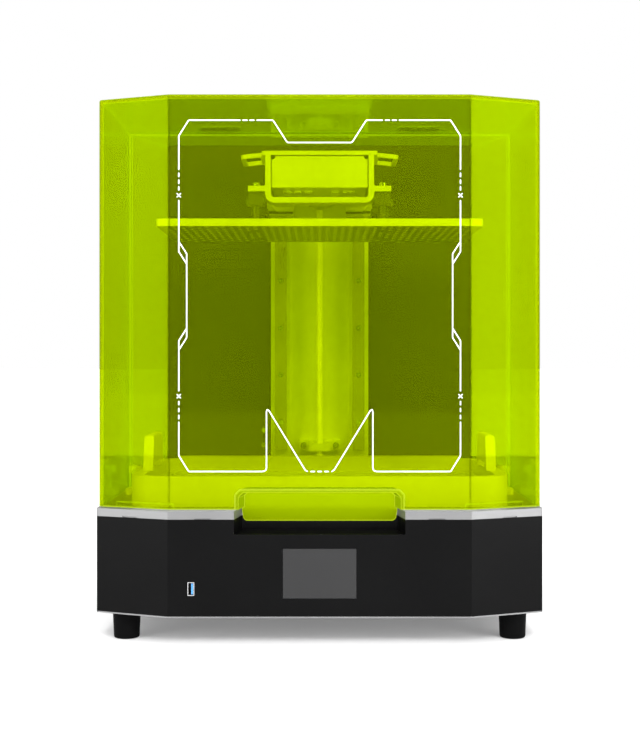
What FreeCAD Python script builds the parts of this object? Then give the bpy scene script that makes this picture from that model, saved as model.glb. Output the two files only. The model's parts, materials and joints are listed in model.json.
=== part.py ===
import FreeCAD, Part
import math
import os

from FreeCAD import Vector

# Large-format resin printer: a black sheet-metal base with a silver top plate, a see-through lid hinged
# at the back, a fixed see-through rear cover, a Z tower that carries the build platform, and a resin vat.
# Millimetres. +X is to the right seen from the front, +Y to the back, +Z up. The origin is on the
# surface that the printer stands on, midway across it and midway between its front and rear faces.

# Whole machine, seen from above: a rectangle with its front corners and rear corners cut off.
HALF_WIDTH = 237.5
FRONT_Y = -200.0
REAR_Y = 200.0
FRONT_HALF = 158.4
FRONT_CORNER_Y = -167.0
SIDE_END_Y = 45.0
REAR_BOX_Y = 140.0
REAR_HALF = 197.0

# Heights of the main levels.
FOOT_TOP = 28.5
SHELL_BOTTOM = 30.0
SHELL_TOP = 131.0
PLATE_TOP = 139.5
LID_BOTTOM = 141.0
LID_TOP = 574.5
HOUSING_TOP = 574.0

# Clearances: a shaft in its bearing, parts that pass each other, and a part in its cut-out.
RUNNING_GAP = 0.08
FREE_GAP = 0.4
CUT_GAP = 0.5
FASTENER_GAP = 0.1

# Sheet metal and moulded walls.
SHEET = 2.0
BEND_RADIUS = 2.0
PLATE_WEB = 5.0
PLATE_RIM = 6.0
LID_INSET = 2.4
LID_WALL = 3.5
LID_EDGE_RADIUS = 3.0
LID_REAR_Y = 38.0
LID_GAP = 0.9
COVER_REAR_Y = 139.2
COVER_LIP_WALL = 2.5
COVER_LIP_REACH = 5.0

# Ribs inside the lid's two lower front corners that seat it on the base.
SEAT_RIB_START = 152.5
SEAT_RIB_END = 216.0
SEAT_RIB_THICK = 2.2
SEAT_RIB_HEIGHT = 5.5

# Finger recess in the front, and the lid's handle that hangs into it.
RECESS_FRONT_HALF = 89.4
RECESS_REAR_HALF = 83.3
RECESS_REAR_Y = -161.0
RECESS_FLOOR = 115.3
HANDLE_FRONT_HALF = 88.0
HANDLE_REAR_HALF = 83.0
HANDLE_REAR_Y = -167.0
HANDLE_TOP = 161.6
HANDLE_WALL = 3.0
HANDLE_CHAMFER = 5.0
HANDLE_BOTTOM = 126.3
HANDLE_TIP_HALF = 80.6
HANDLE_CORNER = 5.0
TONGUE_SHOULDER = 4.0

# Pry notches under the top plate's rim: one in front and one on the cut corner, on each side.
NOTCH_HEIGHT = 1.3
NOTCH_DEPTH = 1.2
NOTCH_LENGTH = 17.0
FRONT_NOTCH_X = 122.0
CORNER_NOTCH_ALONG = 0.53

# Touch screen and USB socket in the front wall.
SCREEN_HALF = 38.25
SCREEN_BOTTOM = 48.9
SCREEN_TOP = 100.6
SCREEN_MARGIN = 5.0
SCREEN_DEPTH = 8.0
SCREEN_SINK = 0.3
USB_X = -134.0
USB_Z = 58.75
USB_WIDTH = 7.0
USB_HEIGHT = 14.0
USB_DEPTH = 16.0
USB_WALL = 0.7
TONGUE_GAP = 0.3

# Floor of the base: its vent slots and the upstand that fits inside the shell.
VENT_ROWS = 2
VENT_COUNT = 15
VENT_PITCH = 12.0
VENT_ROW_PITCH = 60.0
VENT_WIDTH = 5.0
VENT_LENGTH = 40.0
UPSTAND_HEIGHT = 8.0
UPSTAND_WALL = 1.5

# Feet and their screws.
FOOT_X = 207.0
FOOT_FRONT_Y = -155.0
FOOT_REAR_X = 160.0
FOOT_REAR_Y = 165.0
FOOT_RADIUS = 15.0
FOOT_TIP_RADIUS = 13.7
FOOT_EDGE_RADIUS = 2.0
FOOT_BORE_RADIUS = 5.2
FOOT_BORE_DEPTH = 14.0
FOOT_HEAD_RADIUS = 4.6
FOOT_HEAD_HEIGHT = 3.5
FOOT_SHANK_RADIUS = 2.5
FOOT_SHANK_REACH = 6.0
FOOT_DRIVE_RADIUS = 1.4

# Mains inlet and rocker switch in the rear wall.
INLET_X = -140.0
INLET_Z = 78.0
INLET_HALF_X = 24.0
INLET_HALF_Z = 14.0
INLET_FLANGE = 2.0
INLET_DEPTH = 24.0
INLET_LIP = 4.0
INLET_FLANGE_LIP = 3.0
INLET_SHOULDER = 1.5
INLET_BODY_HALF_Z = INLET_HALF_Z - INLET_SHOULDER
SOCKET_HALF_X = 12.2
SOCKET_HALF_Z = 8.2
SOCKET_CORNER = 4.2
SOCKET_DEPTH = 17.0
BLADE_LENGTH = 13.0
BLADE_PLACES = ((-7.0, -1.5), (0.0, 2.5), (7.0, -1.5))
BLADE_HALF_X = 1.0
BLADE_HALF_Z = 2.0
ROCKER_X = INLET_X + 40.0
ROCKER_HALF_X = 6.4
ROCKER_HALF_Z = 9.9
ROCKER_AXIS_Y = REAR_Y - 4.0
ROCKER_DEPTH = 6.0
ROCKER_DISH = 0.6
ROCKER_PIN_RADIUS = 1.5
ROCKER_PIN_REACH = 8.0
ROCKER_BAY_DEPTH = 12.0
ROCKER_SWING = 1.0
ROCKER_SIDE_WALL = 3.0
ROCKER_TILT = -8.0

# Cooling fans and their grilles in the rear walls.
BASE_FAN_X = 70.0
BASE_FAN_Z = 80.0
BASE_FAN_SIZE = 60.0
EXHAUST_X = -120.0
EXHAUST_Z = 430.0
EXHAUST_SIZE = 80.0
FAN_DEPTH = 20.0
FAN_BLADES = 7
FAN_WALL = 2.0
FAN_HUB_SHARE = 0.22
FAN_ARM = 3.0
FAN_TIP_GAP = 1.5
FAN_BLADE_TWIST = 35.0
FAN_BLADE_HALF = 6.0
FAN_BLADE_THICK = 1.4
GRILLE_PITCH = 8.0
GRILLE_SLOT = 4.0
GRILLE_SPOKE = 3.0
GRILLE_REACH = 4.0

# Light engine under the display: a box of walls, a lamp board with its lenses, and a heat sink.
LCD_HALF_X = 170.0
LCD_FRONT_Y = -140.0
LCD_REAR_Y = 52.0
LCD_TOP = 146.6
LCD_THICK = 3.2
BEZEL_MARGIN = 3.5
BEZEL_SEAT = 5.0
BEZEL_BOTTOM = PLATE_TOP - 8.0
BEZEL_DROP = 1.0
BEZEL_CORNER = 3.0
LCD_CORNER = 1.0
ENGINE_BOTTOM = 60.0
ENGINE_MARGIN = 6.0
ENGINE_WALL = 2.0
LAMP_COLUMNS = 9
LAMP_ROWS = 5
LAMP_PITCH = 34.0
LAMP_HALF = 2.5
LAMP_HEIGHT = 1.4
BOARD_MARGIN = 9.0
BOARD_THICK = 1.6
LENS_RADIUS = 18.0
LENS_RISE = 12.0
LENS_SHEET = 2.0
LENS_SINK = 8.0
LENS_HALF = 16.0
SINK_MARGIN = 20.0
SINK_PLATE = 4.0
SINK_DEPTH = 18.0
SINK_FINS = 26
FIN_THICK = 1.8

# Control board and power supply on the base's floor. A chip is given by its place from the board's
# corner along X and Y, half its side and its height.
MAIN_BOARD_X0 = 105.0
MAIN_BOARD_X1 = 195.0
MAIN_BOARD_Y0 = 50.0
MAIN_BOARD_Y1 = 125.0
MAIN_BOARD_LIFT = 10.0
PILLAR_RADIUS = 3.0
PILLAR_INSET = 5.0
CHIPS = ((30, 35, 16, 3), (58, 20, 12, 2.5), (58, 50, 12, 2.5), (12, 20, 9, 2))
CONNECTOR_COUNT = 5
CONNECTOR_PITCH = 16.0
CONNECTOR_WIDTH = 12.0
CONNECTOR_DEPTH = 8.0
CONNECTOR_HEIGHT = 10.0
SUPPLY_X0 = -195.0
SUPPLY_X1 = -100.0
SUPPLY_Y0 = 50.0
SUPPLY_Y1 = 123.0
SUPPLY_HEIGHT = 40.0
SUPPLY_VENTS = 10
SUPPLY_VENT_PITCH = 9.0
SUPPLY_VENT_INSET = 10.0
SUPPLY_VENT_WIDTH = 4.0
SUPPLY_WALL = 2.0

# Rear housing, its front panel and the carbon filter in it.
HOUSING_FLANGE = 8.0
HOUSING_EDGE_RADIUS = 3.0
PANEL_HALF = 195.0
PANEL_TOP = LID_TOP - LID_WALL - CUT_GAP
PANEL_VENTS = 6
PANEL_VENT_PITCH = 12.0
PANEL_VENT_HALF = 34.0
PANEL_VENT_HEIGHT = 4.0
PANEL_SETBACK = 1.0
FILTER_HALF = 42.0
FILTER_DEPTH = 22.0
FILTER_START = 6.0
FILTER_FRAME = 4.0
FILTER_BED = 3.0
PLEAT_HALF = 1.5
FILTER_PLEATS = 11
FILTER_PLEAT_PITCH = 7.0

# Lid hinges on top of the hood.
HINGE_X = 120.0
HINGE_HALF = 24.0
HINGE_Z = 578.5
HINGE_BARREL = 3.2
HINGE_PIN = 1.5
KNUCKLE_HALF = 8.0
KNUCKLE_GAP = 0.4
LEAF_THICK = 1.5
LEAF_LENGTH = 20.0
LEAF_SETBACK = 3.6

# Tower and rails.
TOWER_HALF = 62.4
TOWER_FRONT_Y = 125.0
TOWER_REAR_Y = 165.0
TOWER_TOP = 556.0
TOWER_WALL = 4.0
TOWER_FACE_WALL = 6.0
COLUMN_INNER = 37.0
TOWER_WEB_Y = 137.0
RAIL_X = 49.5
RAIL_WIDTH = 15.0
RAIL_HEIGHT = 15.0
RAIL_BOTTOM = 182.0
RAIL_TOP = 552.0
RAIL_PITCH = 60.0
RAIL_FIRST_SCREW = 217.0
RAIL_GROOVE = 1.6
GROOVE_LOW = 4.0
GROOVE_HIGH = 10.5
RAIL_BORE_RADIUS = 3.8
RAIL_BORE_DEPTH = 5.3
RAIL_SCREW_RADIUS = 3.5
RAIL_SCREW_SINK = 0.4
RAIL_SOCKET_RADIUS = 1.7
RAIL_SOCKET_DEPTH = 3.2

# Lead screw, its motor and its two bearing blocks.
SCREW_Y = 106.0
SCREW_RADIUS = 4.0
BEARING_HALF = 26.2
BEARING_NOSE_HALF = 13.6
BEARING_NOSE_Y = SCREW_Y - 8.5
BEARING_WING_Y = TOWER_FRONT_Y - 8.0
BEARING_BOTTOM = 181.0
BEARING_TOP = 194.0
UPPER_BEARING_BOTTOM = 540.0
UPPER_BEARING_TOP = 552.0
BEARING_RADIUS = 8.0
BEARING_HEIGHT = 7.0
BEARING_SINK = 3.2
BEARING_PASSAGE = 1.2
BEARING_SINK_RADIUS = 9.2
CAP_SCREW_X = 20.6
CAP_SCREW_RADIUS = 4.2
CAP_SCREW_HEIGHT = 4.5
PANEL_SCREW_X = -71.5
PANEL_SCREW_RADIUS = 3.2
PANEL_SCREW_HEIGHT = 1.8
PANEL_SCREW_HEIGHTS = (187.2, 206.4)
MOTOR_HALF = 21.1
MOTOR_TOP = 130.5
MOTOR_LENGTH = 44.0
MOTOR_CORNER = 4.0
MOTOR_WAIST = 1.0
MOTOR_SHAFT_DEPTH = 28.0
MOTOR_PILOT_RADIUS = 11.0
MOTOR_END = 12.5

# Rail blocks, carriage plate and nut.
BLOCK_WIDTH = 34.0
BLOCK_FRONT_Y = 97.0
BLOCK_REAR_Y = TOWER_FRONT_Y - 4.3
BLOCK_BOTTOM = 478.0
BLOCK_TOP = 536.0
SEAL_THICK = 2.7
END_CAP = 3.6
END_SHRINK = 0.8
CARRIAGE_HALF = 62.0
CARRIAGE_LOWER_HALF = 54.5
CARRIAGE_BOTTOM = 483.3
CARRIAGE_CHAMFER = 9.2
CARRIAGE_FRONT_Y = 88.0
CARRIAGE_CORNER = 1.5
NOTCH_HALF = 33.0
NOTCH_TOP = 495.5
NUT_BOTTOM = 486.0
NUT_FLARE_LOW = 4.9
NUT_FLARE_HIGH = 8.2
NUT_FLARE_HEIGHT = 3.6
NUT_FLANGE_RADIUS = 14.2
NUT_FLANGE_THICK = 2.6
NUT_RADIUS = 7.0
NUT_BLOCK_HALF = 16.0
NUT_BLOCK_TOP = 520.0

# Platform: a channel that slides on the arm, with a build plate hung under it on four screws.
PLATE_HALF_X = 177.3
PLATE_FRONT_Y = -145.0
PLATE_REAR_Y = 57.0
PLATE_UNDER = 441.8
PLATE_UPPER = 450.0
PLATE_CORNER = 6.0
HOLE_PITCH_X = 17.6
HOLE_PITCH_Y = 24.0
HOLE_WIDTH = 4.4
HOLE_LENGTH = 7.0
HOLE_MARGIN = 9.0
TUBE_HALF = 61.0
TUBE_WALL = 6.2
TUBE_BEND = 10.0
TUBE_BOTTOM = 473.2
TUBE_TOP = 526.7
TUBE_FRONT_Y = -92.0
TUBE_REAR_Y = 33.0
TUBE_FLOOR_REAR_Y = -62.0
FLANGE_HALF = 80.3
FLANGE_BOTTOM = 486.1
FLANGE_TOP = 492.2
FLANGE_CORNER = 2.0
COVER_HALF = 64.6
COVER_THICK = 4.7
GRIP_OUTER = 89.5
GRIP_BAR = 4.6
GRIP_FRONT_Y = -78.0
GRIP_REAR_Y = -14.0
GRIP_CORNER = 6.0
GRIP_ROOT = 2.0
GRIP_DROOP = 6.0
LEVEL_X = 71.5
LEVEL_FRONT_Y = -79.0
LEVEL_REAR_Y = 19.0
LEVEL_SCREW_RADIUS = 2.5
LEVEL_HEAD_RADIUS = 4.2
LEVEL_HEAD_HEIGHT = 4.4
LEVEL_SOCKET_RADIUS = 2.3
LEVEL_SOCKET_FLOOR = 2.0
LEVEL_LIFT = 0.3
POST_RADIUS = 5.2
POST_NUT_HALF = 8.2
POST_COLLAR_HALF = 10.7
POST_COLLAR_BOTTOM = 471.0
POST_COLLAR_TOP = 477.0
POST_CLEAR_X = 61.4

# Arm: a wide gusset on the carriage plate and the long block that the platform slides on.
ARM_HALF = 54.0
ARM_BOTTOM = 490.5
ARM_TOP = TUBE_TOP - 0.8
ARM_RELIEF = 3.0
GUSSET_HALF = 60.0
GUSSET_LOWER_HALF = 55.5
GUSSET_BOTTOM = 488.0
GUSSET_CHAMFER = 5.5
GUSSET_FRONT_Y = TUBE_REAR_Y + 1.5
GUSSET_FRONT_WALL = 10.0
GUSSET_REAR_WALL = 8.0
ARM_FRONT_Y = TUBE_FRONT_Y + 2.0
GUSSET_POCKET_HALF = 40.0

# Vat: tank, clamped film, paddle grips and tall thumb screws.
VAT_HALF_X = 203.8
VAT_FRONT_Y = -165.5
VAT_REAR_Y = 88.0
VAT_BOTTOM = 139.8
VAT_TOP = 173.0
VAT_CORNER = 28.0
VAT_WALL = 14.0
VAT_FRONT_WALL = 9.0
VAT_REAR_LIP = 3.5
VAT_WINDOW_HALF = 181.0
VAT_WINDOW_FRONT_Y = -150.0
VAT_WINDOW_REAR_Y = 62.0
VAT_WINDOW_CORNER = 4.0
FILM_Z = 147.0
FILM_THICK = 0.4
FILM_FRAME_TOP = 157.7
FILM_PLAY = 0.5
FILM_SCREW_RADIUS = 2.3
FILM_SCREW_SEAT = 3.0
FILM_SCREW_SINK = 0.4
FILM_SOCKET_RADIUS = 1.1
FILM_SOCKET_DEPTH = 1.6
VAT_GRIP_INNER_X = 186.0
VAT_GRIP_OUTER_X = 197.0
VAT_GRIP_SKIN = 3.5
VAT_GRIP_FRONT_Y = -98.0
VAT_GRIP_REAR_Y = -2.0
VAT_GRIP_SLOPE = 10.0
VAT_GRIP_LEG = 12.0
VAT_GRIP_TOP = 212.0
VAT_SCOOP_TOP = 200.0
VAT_SKIN_BOTTOM = 181.0
VAT_GRIP_EDGE = 3.0
VAT_SCOOP_CORNER = 5.0
VAT_SLOT_INSET = 2.0
VAT_SLOT_BOTTOM = VAT_TOP - 6.0
EAR_TOP = 146.4
EAR_CORNER = 4.0
EAR_HALF_Y = 13.0
EAR_MARGIN = 2.4
KNOB_X = 216.0
KNOB_Y = -21.0
KNOB_RADIUS = 7.9
KNOB_BOTTOM = 164.8
KNOB_TOP = 173.4
KNOB_EDGE = 0.8
KNOB_FLUTE_RADIUS = 1.2
KNOB_FLUTE_OFFSET = 0.6
KNOB_FLUTES = 12
KNOB_STEM_RADIUS = 3.4
STUD_RADIUS = 3.0
STUD_DEPTH = 4.0


# ---- shapes ---------------------------------------------------------------------------------------


def box(x0, x1, y0, y1, z0, z1):
    """Box between two corners."""
    return Part.makeBox(x1 - x0, y1 - y0, z1 - z0, Vector(x0, y0, z0))


def rod(radius, start, end):
    """Round bar between two points given as (x, y, z)."""
    foot = Vector(*start)
    run = Vector(*end) - foot
    return Part.makeCylinder(radius, run.Length, foot, run)


def rectangle(half_x, y0, y1):
    """Rectangle about the middle plane, anticlockwise."""
    return [(-half_x, y0), (half_x, y0), (half_x, y1), (-half_x, y1)]


def loop(points, radius):
    """Closed wire through the points, each corner rounded to the radius."""
    if radius == 0:
        return Part.makePolygon(points + points[:1])
    arcs = []
    for i, corner in enumerate(points):
        back = (points[i - 1] - corner).normalize()
        ahead = (points[(i + 1) % len(points)] - corner).normalize()
        half = back.getAngle(ahead) / 2
        reach = radius / math.tan(half)
        centre = corner + (back + ahead).normalize() * (radius / math.sin(half))
        middle = centre + (corner - centre).normalize() * radius
        arcs.append((corner + back * reach, middle, corner + ahead * reach))
    edges = []
    for i, (start, middle, end) in enumerate(arcs):
        edges.append(Part.Arc(start, middle, end).toShape())
        following = arcs[(i + 1) % len(arcs)][0]
        if (following - end).Length > 1e-6:
            edges.append(Part.LineSegment(end, following).toShape())
    return Part.Wire(edges)


def extrusion(points, run, radius, holes):
    """Prism on a closed outline, with through holes given as wires in the same plane."""
    outer = loop(points, radius)
    face = Part.makeFace([outer] + list(holes), "Part::FaceMakerBullseye") if holes else Part.Face(outer)
    return face.extrude(run)


def upright(points, z0, z1, radius=0.0, holes=()):
    """Prism on a plan outline given as (x, y) pairs."""
    corners = [Vector(x, y, z0) for x, y in points]
    return extrusion(corners, Vector(0, 0, z1 - z0), radius, holes)


def front_on(points, y0, y1, radius=0.0, holes=()):
    """Prism that runs front to back on an outline given as (x, z) pairs."""
    corners = [Vector(x, y0, z) for x, z in points]
    return extrusion(corners, Vector(0, y1 - y0, 0), radius, holes)


def side_on(points, x0, x1, radius=0.0):
    """Prism that runs left to right on an outline given as (y, z) pairs."""
    corners = [Vector(x0, y, z) for y, z in points]
    return extrusion(corners, Vector(x1 - x0, 0, 0), radius, ())


def mirrored(shape):
    """The same shape on the other side of the middle plane."""
    return shape.mirror(Vector(0, 0, 0), Vector(1, 0, 0))


def inset(points, gap):
    """Closed anticlockwise outline with every side moved inward by the gap."""
    moved = []
    for i, (x, y) in enumerate(points):
        before = Vector(x - points[i - 1][0], y - points[i - 1][1], 0).normalize()
        after_x, after_y = points[(i + 1) % len(points)]
        after = Vector(after_x - x, after_y - y, 0).normalize()
        left_before = Vector(-before.y, before.x, 0)
        left_after = Vector(-after.y, after.x, 0)
        shift = (left_before + left_after) * (gap / (1 + left_before.dot(left_after)))
        moved.append((x + shift.x, y + shift.y))
    return moved


def outline():
    """Plan of the whole base, anticlockwise from the front left corner."""
    right = [
        (FRONT_HALF, FRONT_Y),
        (HALF_WIDTH, FRONT_CORNER_Y),
        (HALF_WIDTH, SIDE_END_Y),
        (REAR_HALF, REAR_BOX_Y),
        (REAR_HALF, REAR_Y),
    ]
    left = [(-x, y) for x, y in reversed(right)]
    return right + left


def recess_outline(widen):
    """Plan of the finger recess, open to the front, made wider all round by the given amount."""
    return [
        (-RECESS_FRONT_HALF - widen, FRONT_Y - 1),
        (RECESS_FRONT_HALF + widen, FRONT_Y - 1),
        (RECESS_REAR_HALF + widen, RECESS_REAR_Y + widen),
        (-RECESS_REAR_HALF - widen, RECESS_REAR_Y + widen),
    ]


# ---- base -----------------------------------------------------------------------------------------


def fan_grille(x, z, size):
    """Cutter for a round grille: rings of slots through the rear wall in front of a fan."""
    inside = REAR_Y - SHEET - GRILLE_REACH
    outside = REAR_Y + SHEET
    cutters = []
    for ring in range(1, int(size / 2 // GRILLE_PITCH)):
        radius = ring * GRILLE_PITCH
        annulus = rod(radius + GRILLE_SLOT / 2, (x, inside, z), (x, outside, z))
        cutters.append(annulus.cut(rod(radius - GRILLE_SLOT / 2, (x, inside, z), (x, outside, z))))
    reach = size / 2
    half = GRILLE_SPOKE / 2
    spokes = [
        box(x - half, x + half, inside - 1, outside + 1, z - reach, z + reach),
        box(x - reach, x + reach, inside - 1, outside + 1, z - half, z + half),
    ]
    return Part.makeCompound(cutters).cut(spokes)


def front_cutter(x, half_x, z0, z1):
    """Cutter for a rectangular hole through the front wall."""
    return box(x - half_x, x + half_x, FRONT_Y - 1, FRONT_Y + SHEET + 1, z0, z1)


def base_shell():
    """Folded black shell with the finger recess, the screen window and the sockets' cut-outs."""
    plan = outline()
    shell = upright(plan, SHELL_BOTTOM, SHELL_TOP, BEND_RADIUS)
    shell = shell.cut(upright(inset(plan, SHEET), SHELL_BOTTOM - 1, SHELL_TOP + 1))
    tray = upright(recess_outline(SHEET), RECESS_FLOOR - SHEET, SHELL_TOP)
    tray = tray.common(upright(inset(plan, SHEET / 2), SHELL_BOTTOM, SHELL_TOP))
    shell = shell.fuse(tray)
    shell = shell.cut(upright(recess_outline(0), RECESS_FLOOR, SHELL_TOP + 1))
    play = SCREEN_SINK
    window = front_cutter(0, SCREEN_HALF + play, SCREEN_BOTTOM - play, SCREEN_TOP + play)
    usb = front_cutter(USB_X, USB_WIDTH / 2, USB_Z - USB_HEIGHT / 2, USB_Z + USB_HEIGHT / 2)
    inlet = inlet_body(CUT_GAP, REAR_Y - SHEET - 1, REAR_Y + 1)
    shell = shell.cut([window, usb, inlet, fan_grille(BASE_FAN_X, BASE_FAN_Z, BASE_FAN_SIZE)])
    return shell.removeSplitter()


def top_plate():
    """Silver plate with a turned-down rim, a window over the light engine and the recess notch."""
    plan = outline()
    plate = upright(plan, SHELL_TOP, PLATE_TOP, BEND_RADIUS)
    plate = plate.cut(upright(inset(plan, PLATE_RIM), SHELL_TOP - 1, PLATE_TOP - PLATE_WEB))
    wall = upright(recess_outline(PLATE_RIM), SHELL_TOP, PLATE_TOP - PLATE_WEB)
    wall = wall.common(upright(inset(plan, PLATE_RIM / 2), SHELL_TOP, PLATE_TOP))
    plate = plate.fuse(wall)
    margin = BEZEL_MARGIN + CUT_GAP
    window = rectangle(LCD_HALF_X + margin, LCD_FRONT_Y - margin, LCD_REAR_Y + margin)
    cutters = [
        upright(recess_outline(0), SHELL_TOP - 1, PLATE_TOP + 1),
        upright(window, SHELL_TOP, PLATE_TOP + 1),
        rod(MOTOR_PILOT_RADIUS + 1, (0, SCREW_Y, SHELL_TOP - 1), (0, SCREW_Y, PLATE_TOP + 1)),
    ]
    for side in (-1, 1):
        x = side * KNOB_X
        cutters.append(rod(STUD_RADIUS + FREE_GAP, (x, KNOB_Y, SHELL_TOP), (x, KNOB_Y, PLATE_TOP + 1)))
        cutters.extend(seam_notches(side))
    return plate.cut(cutters).removeSplitter()


def seam_notches(side):
    """Two shallow slots under the rim where a pry tool goes in: one in front, one on the cut corner."""
    low = SHELL_TOP - 1
    high = SHELL_TOP + NOTCH_HEIGHT
    middle = side * FRONT_NOTCH_X
    half = NOTCH_LENGTH / 2
    front = box(middle - half, middle + half, FRONT_Y - 1, FRONT_Y + NOTCH_DEPTH, low, high)
    run_x = HALF_WIDTH - FRONT_HALF
    run_y = FRONT_CORNER_Y - FRONT_Y
    corner = box(-half, half, -1, NOTCH_DEPTH, low, high)
    corner.rotate(Vector(0, 0, 0), Vector(0, 0, 1), side * math.degrees(math.atan2(run_y, run_x)))
    corner.translate(
        Vector(
            side * (FRONT_HALF + run_x * CORNER_NOTCH_ALONG),
            FRONT_Y + run_y * CORNER_NOTCH_ALONG,
            0,
        )
    )
    return [front, corner]


def bottom_pan():
    """Sheet floor of the base with vent slots and an upstand that fits inside the shell."""
    plan = outline()
    inside = inset(plan, SHEET + CUT_GAP)
    pan = upright(plan, FOOT_TOP, SHELL_BOTTOM, BEND_RADIUS)
    upstand = upright(inside, SHELL_BOTTOM, SHELL_BOTTOM + UPSTAND_HEIGHT)
    hollow = upright(inset(inside, UPSTAND_WALL), SHELL_BOTTOM - 1, SHELL_BOTTOM + UPSTAND_HEIGHT + 1)
    upstand = upstand.cut(hollow)
    cutters = []
    for row in range(VENT_ROWS):
        y = (row - 1) * VENT_ROW_PITCH
        for i in range(VENT_COUNT):
            x = (i - (VENT_COUNT - 1) / 2) * VENT_PITCH
            half = VENT_WIDTH / 2
            cutters.append(box(x - half, x + half, y, y + VENT_LENGTH, FOOT_TOP - 1, SHELL_BOTTOM + 1))
    for x, y in foot_places():
        cutters.append(rod(FOOT_SHANK_RADIUS + FASTENER_GAP, (x, y, FOOT_TOP - 1), (x, y, SHELL_BOTTOM + 1)))
    return pan.fuse(upstand).cut(cutters).removeSplitter()


def foot_places():
    """Centres of the four feet."""
    places = []
    for side in (-1, 1):
        places.append((side * FOOT_X, FOOT_FRONT_Y))
        places.append((side * FOOT_REAR_X, FOOT_REAR_Y))
    return places


def feet():
    """Four tapered rubber feet with a counterbored screw hole."""
    solids = []
    for x, y in foot_places():
        foot = Part.makeCone(FOOT_TIP_RADIUS, FOOT_RADIUS, FOOT_TOP, Vector(x, y, 0))
        bottom_edges = [edge for edge in foot.Edges if edge.BoundBox.ZMax < 0.1]
        foot = foot.makeFillet(FOOT_EDGE_RADIUS, bottom_edges)
        bore = rod(FOOT_BORE_RADIUS, (x, y, -1), (x, y, FOOT_BORE_DEPTH))
        hole = rod(FOOT_SHANK_RADIUS + FASTENER_GAP, (x, y, 0), (x, y, FOOT_TOP + 1))
        solids.append(foot.cut([bore, hole]))
    return Part.makeCompound(solids)


def foot_screws():
    """Four pan-head screws that hold the feet to the floor."""
    solids = []
    low = FOOT_BORE_DEPTH - FOOT_HEAD_HEIGHT
    for x, y in foot_places():
        head = rod(FOOT_HEAD_RADIUS, (x, y, low), (x, y, FOOT_BORE_DEPTH))
        shank = rod(FOOT_SHANK_RADIUS, (x, y, FOOT_BORE_DEPTH - 1), (x, y, SHELL_BOTTOM + FOOT_SHANK_REACH))
        drive = rod(FOOT_DRIVE_RADIUS, (x, y, low - 1), (x, y, low + FOOT_HEAD_HEIGHT / 2))
        solids.append(head.fuse(shank).cut(drive).removeSplitter())
    return Part.makeCompound(solids)


def touch_screen():
    """Glass-faced touch screen with its body behind the front wall."""
    half = SCREEN_HALF
    glass = box(-half, half, FRONT_Y + SCREEN_SINK, FRONT_Y + SHEET, SCREEN_BOTTOM, SCREEN_TOP)
    low = SCREEN_BOTTOM - SCREEN_MARGIN
    high = SCREEN_TOP + SCREEN_MARGIN
    half += SCREEN_MARGIN
    body = box(-half, half, FRONT_Y + SHEET, FRONT_Y + SCREEN_DEPTH, low, high)
    return glass.fuse(body).removeSplitter()


def usb_socket():
    """Upright USB-A socket: a pressed steel shell, open to the front, and its blue tongue."""
    half_x = USB_WIDTH / 2
    low = USB_Z - USB_HEIGHT / 2
    high = USB_Z + USB_HEIGHT / 2
    y1 = FRONT_Y + USB_DEPTH
    wall = USB_WALL
    shell = box(USB_X - half_x, USB_X + half_x, FRONT_Y, y1, low, high)
    left = USB_X - half_x + wall
    right = USB_X + half_x - wall
    back = y1 - wall
    hollow = box(left, right, FRONT_Y - 1, back, low + wall, high - wall)
    tongue_right = right - TONGUE_GAP
    tongue = box(USB_X + TONGUE_GAP, tongue_right, FRONT_Y + 1, back, low + 2 * wall, high - 2 * wall)
    return shell.cut(hollow), tongue


def inlet_body(margin, y0, y1):
    """The inlet module's body, or the cut-out for it when grown by a margin."""
    left = INLET_X - INLET_HALF_X + INLET_LIP - margin
    right = ROCKER_X + ROCKER_HALF_X + ROCKER_SIDE_WALL + margin
    half_z = INLET_BODY_HALF_Z + margin
    return box(left, right, y0, y1, INLET_Z - half_z, INLET_Z + half_z)


def power_inlet():
    """Rear module: a recessed three-blade inlet, with a bay beside it for the rocker switch."""
    face = REAR_Y + INLET_FLANGE
    left = INLET_X - INLET_HALF_X
    right = ROCKER_X + ROCKER_HALF_X + ROCKER_SIDE_WALL + INLET_FLANGE_LIP
    half_z = INLET_HALF_Z + INLET_SHOULDER
    plate = box(left, right, REAR_Y, face, INLET_Z - half_z, INLET_Z + half_z)
    body = inlet_body(0, REAR_Y - INLET_DEPTH, REAR_Y)
    wide = SOCKET_HALF_X
    tall = SOCKET_HALF_Z
    socket_outline = [
        (INLET_X - wide, INLET_Z - tall),
        (INLET_X + wide, INLET_Z - tall),
        (INLET_X + wide, INLET_Z + tall - SOCKET_CORNER),
        (INLET_X + wide - SOCKET_CORNER, INLET_Z + tall),
        (INLET_X - wide + SOCKET_CORNER, INLET_Z + tall),
        (INLET_X - wide, INLET_Z + tall - SOCKET_CORNER),
    ]
    socket = front_on(socket_outline, REAR_Y - SOCKET_DEPTH, face + 1)
    bay_half_x = ROCKER_HALF_X + FREE_GAP
    bay_half_z = ROCKER_HALF_Z + ROCKER_SWING
    bay = box(
        ROCKER_X - bay_half_x,
        ROCKER_X + bay_half_x,
        REAR_Y - ROCKER_BAY_DEPTH,
        face + 1,
        INLET_Z - bay_half_z,
        INLET_Z + bay_half_z,
    )
    module = plate.fuse(body).cut([socket, bay, rocker_pivot(RUNNING_GAP)])
    start = REAR_Y - SOCKET_DEPTH - 1
    for dx, dz in BLADE_PLACES:
        x = INLET_X + dx
        z = INLET_Z + dz
        half = BLADE_HALF_X
        blade = box(x - half, x + half, start, start + BLADE_LENGTH, z - BLADE_HALF_Z, z + BLADE_HALF_Z)
        module = module.fuse(blade)
    return module.removeSplitter()


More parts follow.
